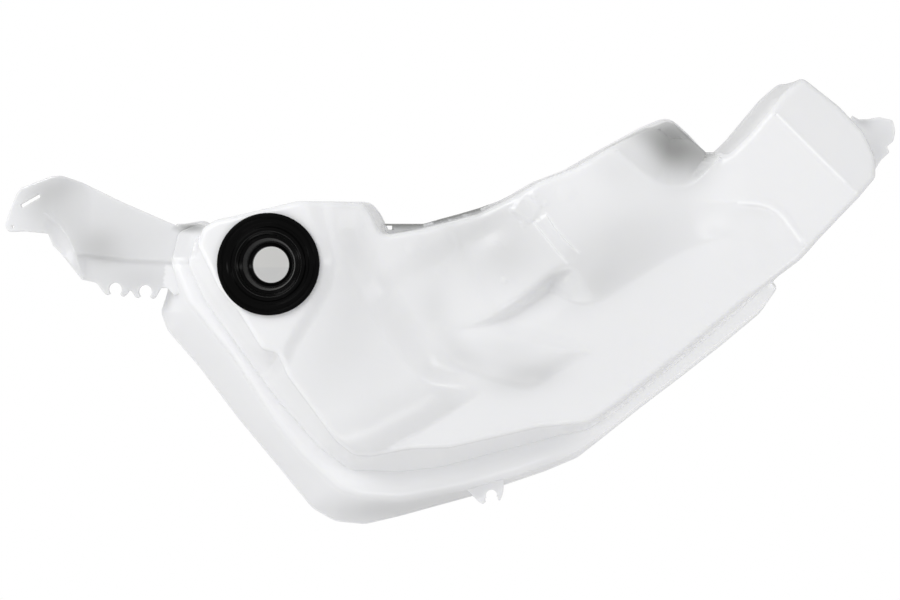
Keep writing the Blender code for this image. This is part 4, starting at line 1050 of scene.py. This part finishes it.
def markWalls(mesh):
    # one attribute says how much painted shade greys the plastic, one how much painted glow and highlight it gets, and
    # insideWall is 1 on the inner side
    greys, glows = paintedShadeShares, glowShares
    flat = np.empty(len(mesh.vertices) * 3)
    mesh.vertices.foreach_get("co", flat)
    place = flat.reshape(-1, 3) / mm
    points = place[:, :2] + np.array(partMiddle)
    x, y, z = points[:, 0], points[:, 1], place[:, 2]
    tub, ridge, valley, panel = outlineDistances(points)
    inside = (tub > 1.5) & (frontHeight(points) - z > 1.0) & (z - backHeight(points) > 1.0)
    outside = (z > 22) & ~inside & (tub > 0)
    # painted shade on the flat pieces; the arm's painted shade runs on to where the tank's ridge begins
    spots = softSpots(sheetShadeSpots, points)
    onArm = (x < -150) & (y > 4)
    armShade = spots * np.where(y > 24, fall(x, -168, 8), 1.0)
    thin = np.where(tub < 0, np.where(onArm, armShade, fall(tub, 0, 6) * spots), 0.0)
    # the flange behind the top wall is fully grey, a painted shadow
    flange = (np.abs(z - sheets["flange"] - 1.5) < 2.0) & (np.abs(x + 67) < 115.5) & (y > 36)
    flange &= ((y < 51.2) | (x > -30)) & (tub < 0.2)
    thin = np.where(flange, greys["flange"], thin)
    # soft spots of painted shade on the body
    thin = np.where(outside, softSpots(bodyShadeSpots, points), thin)
    thin = np.where(outside & onArm & (z < 54) & (y > 24), np.maximum(thin, armShade), thin)
    # painted shade in the scoop, greyer the deeper it goes
    scoop = rise(insideDistance(relief["scoop"], points), 0, 3)
    scoop = scoop * fall(z, tankShape["hill"] - scoopShade["start"], scoopShade["depth"]) * greys["scoop"]
    thin = np.where(outside & (z > 40), np.minimum(thin + scoop, 1), thin)
    # painted shade on the tank's wall above the flange, the wedge beside the end of the ridge and the block's end wall
    topWall = rise(x, -50, 20) * fall(x, 54, 24) * (y > 40) * fall(z, 84, 40) * greys["topWall"]
    thin = np.where(outside & (panel < -0.3), np.maximum(thin, topWall), thin)
    wedge = rise(x, 196, 8) * fall(x, 236, 6) * (y < 40) * greys["wedge"]
    thin = np.where(outside & (panel < -0.1) & (panel > -2.6), np.maximum(thin, wedge), thin)
    thin = np.where(outside & (x > 150) & (y > 80) & (z < 92) & (tub < 6), thin + greys["blockWall"], thin)
    # painted glow on the ridge, the strip on the right and the wall below the panel's edge, which is lighter on the
    # left side
    wide = rise(ridge - valley, 2.5, 1.5)
    strip = rise(x, 60, 60)
    glow = glows["ridge"] * (rise(ridge, -2, 2) * fall(valley, 2.5, 3) * fall(y, 34, 12)) * (1 - strip)
    glow += glows["rightStrip"] * strip * rise(tub, 0, 1.5) * fall(valley, 0.6, 1.2)
    onWall = rise(valley, -0.5, 1.5) * fall(panel, 0.6, 1.2) * fall(x, 110, 40)
    wallGlow = glows["bottomWall"] + (glows["leftWall"] - glows["bottomWall"]) * fall(x, -62, 30)
    glow = np.maximum(glow * wide, wallGlow * onWall * wide)
    # a faint line of painted shade along the valley
    thin += np.where(outside, greys["valley"] * bead(valley, 0, 1.4) * wide * (1 - strip), 0.0)
    # painted highlights on the panel's lower edge and the folds
    glow = np.maximum(glow, glows["edge"] * (fall(x, 105, 40) * (y < 36)) * bead(panel, 1.5, 0.9))
    for line in brightFolds:
        glow = np.maximum(glow, glows["fold"] * bead(nearRun(line, points), 0, 0.8))
    for name, values in (("thinWall", thin), ("paintedGlow", np.where(outside, glow, 0.0)),
                         ("insideWall", inside.astype(float))):
        attribute = mesh.attributes.new(name, "FLOAT", "POINT")
        attribute.data.foreach_set("value", values.astype(np.float32))


white = whitePlastic()
rubber = blackRubber()
tank.data.materials.clear()
tank.data.materials.append(white)
grommet = buildGrommet(rubber)
markWalls(tank.data)

for piece, node, slotName in ((tank, "tank", "white_polyethylene"), (grommet, "filler_grommet", "black_rubber")):
    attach(piece, "root")
    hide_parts(node)
print("pieces ready")


# Floor, lights and camera
studio = {"floorSize": 8.0, "floorZ": -0.0005, "cameraHeight": 1.15, "sensor": 36, "lens": 1658 / 900 * 36,
          "skyLight": 0.58, "floorGlow": 0.68, "lit": (0, 0, 0.05)}
# Softboxes: place, width and height, power
softboxes = {
    "upperLeft": ((-0.9, 0.95, 1.2), (1.0, 1.0), 9.4),
    "key": ((-0.75, 0.85, 1.3), (0.5, 0.5), 1.8),
    "right": ((1.3, 0.2, 1.1), (0.25, 0.8), 2.6),
    "below": ((0.1, -1.3, 1.2), (1.2, 0.22), 3.2),
    "left": ((-1.4, -0.3, 1.1), (0.25, 0.9), 2.7),
}


def showWhite(tree, kind, strength, output):
    # the camera sees even white where other rays get softer light of the given strength
    mix, seen = tree.nodes.new("ShaderNodeMixShader"), tree.nodes.new("ShaderNodeLightPath")
    tree.links.new(seen.outputs["Is Camera Ray"], mix.inputs["Fac"])
    for index, value in ((1, strength), (2, 1.0)):
        source = tree.nodes.new(kind)
        source.inputs["Color"].default_value = (1, 1, 1, 1)
        source.inputs["Strength"].default_value = value
        tree.links.new(source.outputs[0], mix.inputs[index])
    tree.links.new(mix.outputs["Shader"], tree.nodes[output].inputs["Surface"])


def buildFloor():
    # a plain white sheet that throws soft light back up
    bpy.ops.mesh.primitive_plane_add(size=studio["floorSize"])
    floor = bpy.context.active_object
    floor.name = "floor"
    floor.location.z = studio["floorZ"]
    material, nodes, links, shader = newMaterial("floor_white")
    nodes.remove(shader)
    showWhite(material.node_tree, "ShaderNodeEmission", studio["floorGlow"], "Material Output")
    floor.data.materials.append(material)


def buildSky():
    world = bpy.data.worlds.new("studio")
    world.use_nodes = True
    world.node_tree.nodes.remove(world.node_tree.nodes["Background"])
    showWhite(world.node_tree, "ShaderNodeBackground", studio["skyLight"], "World Output")
    scene.world = world


def addSoftLight(name, place, size, power):
    data = bpy.data.lights.new(name, "AREA")
    data.shape = "RECTANGLE"
    data.size, data.size_y = size
    data.energy = power
    lamp = bpy.data.objects.new(name, data)
    lamp.location = place
    lamp.rotation_euler = (Vector(studio["lit"]) - Vector(place)).to_track_quat("-Z", "Y").to_euler()
    scene.collection.objects.link(lamp)


buildFloor()
buildSky()
for name, (place, size, power) in softboxes.items():
    addSoftLight(name, place, size, power)
scene.view_settings.view_transform = "Standard"

cameraData = bpy.data.cameras.new("camera")
cameraData.lens = studio["lens"]
cameraData.sensor_width = studio["sensor"]
cameraData.clip_end = 20
camera = bpy.data.objects.new("camera", cameraData)
camera.location = (-partMiddle[0] * mm, -partMiddle[1] * mm, studio["cameraHeight"])
scene.collection.objects.link(camera)
scene.camera = camera
print("stage ready")
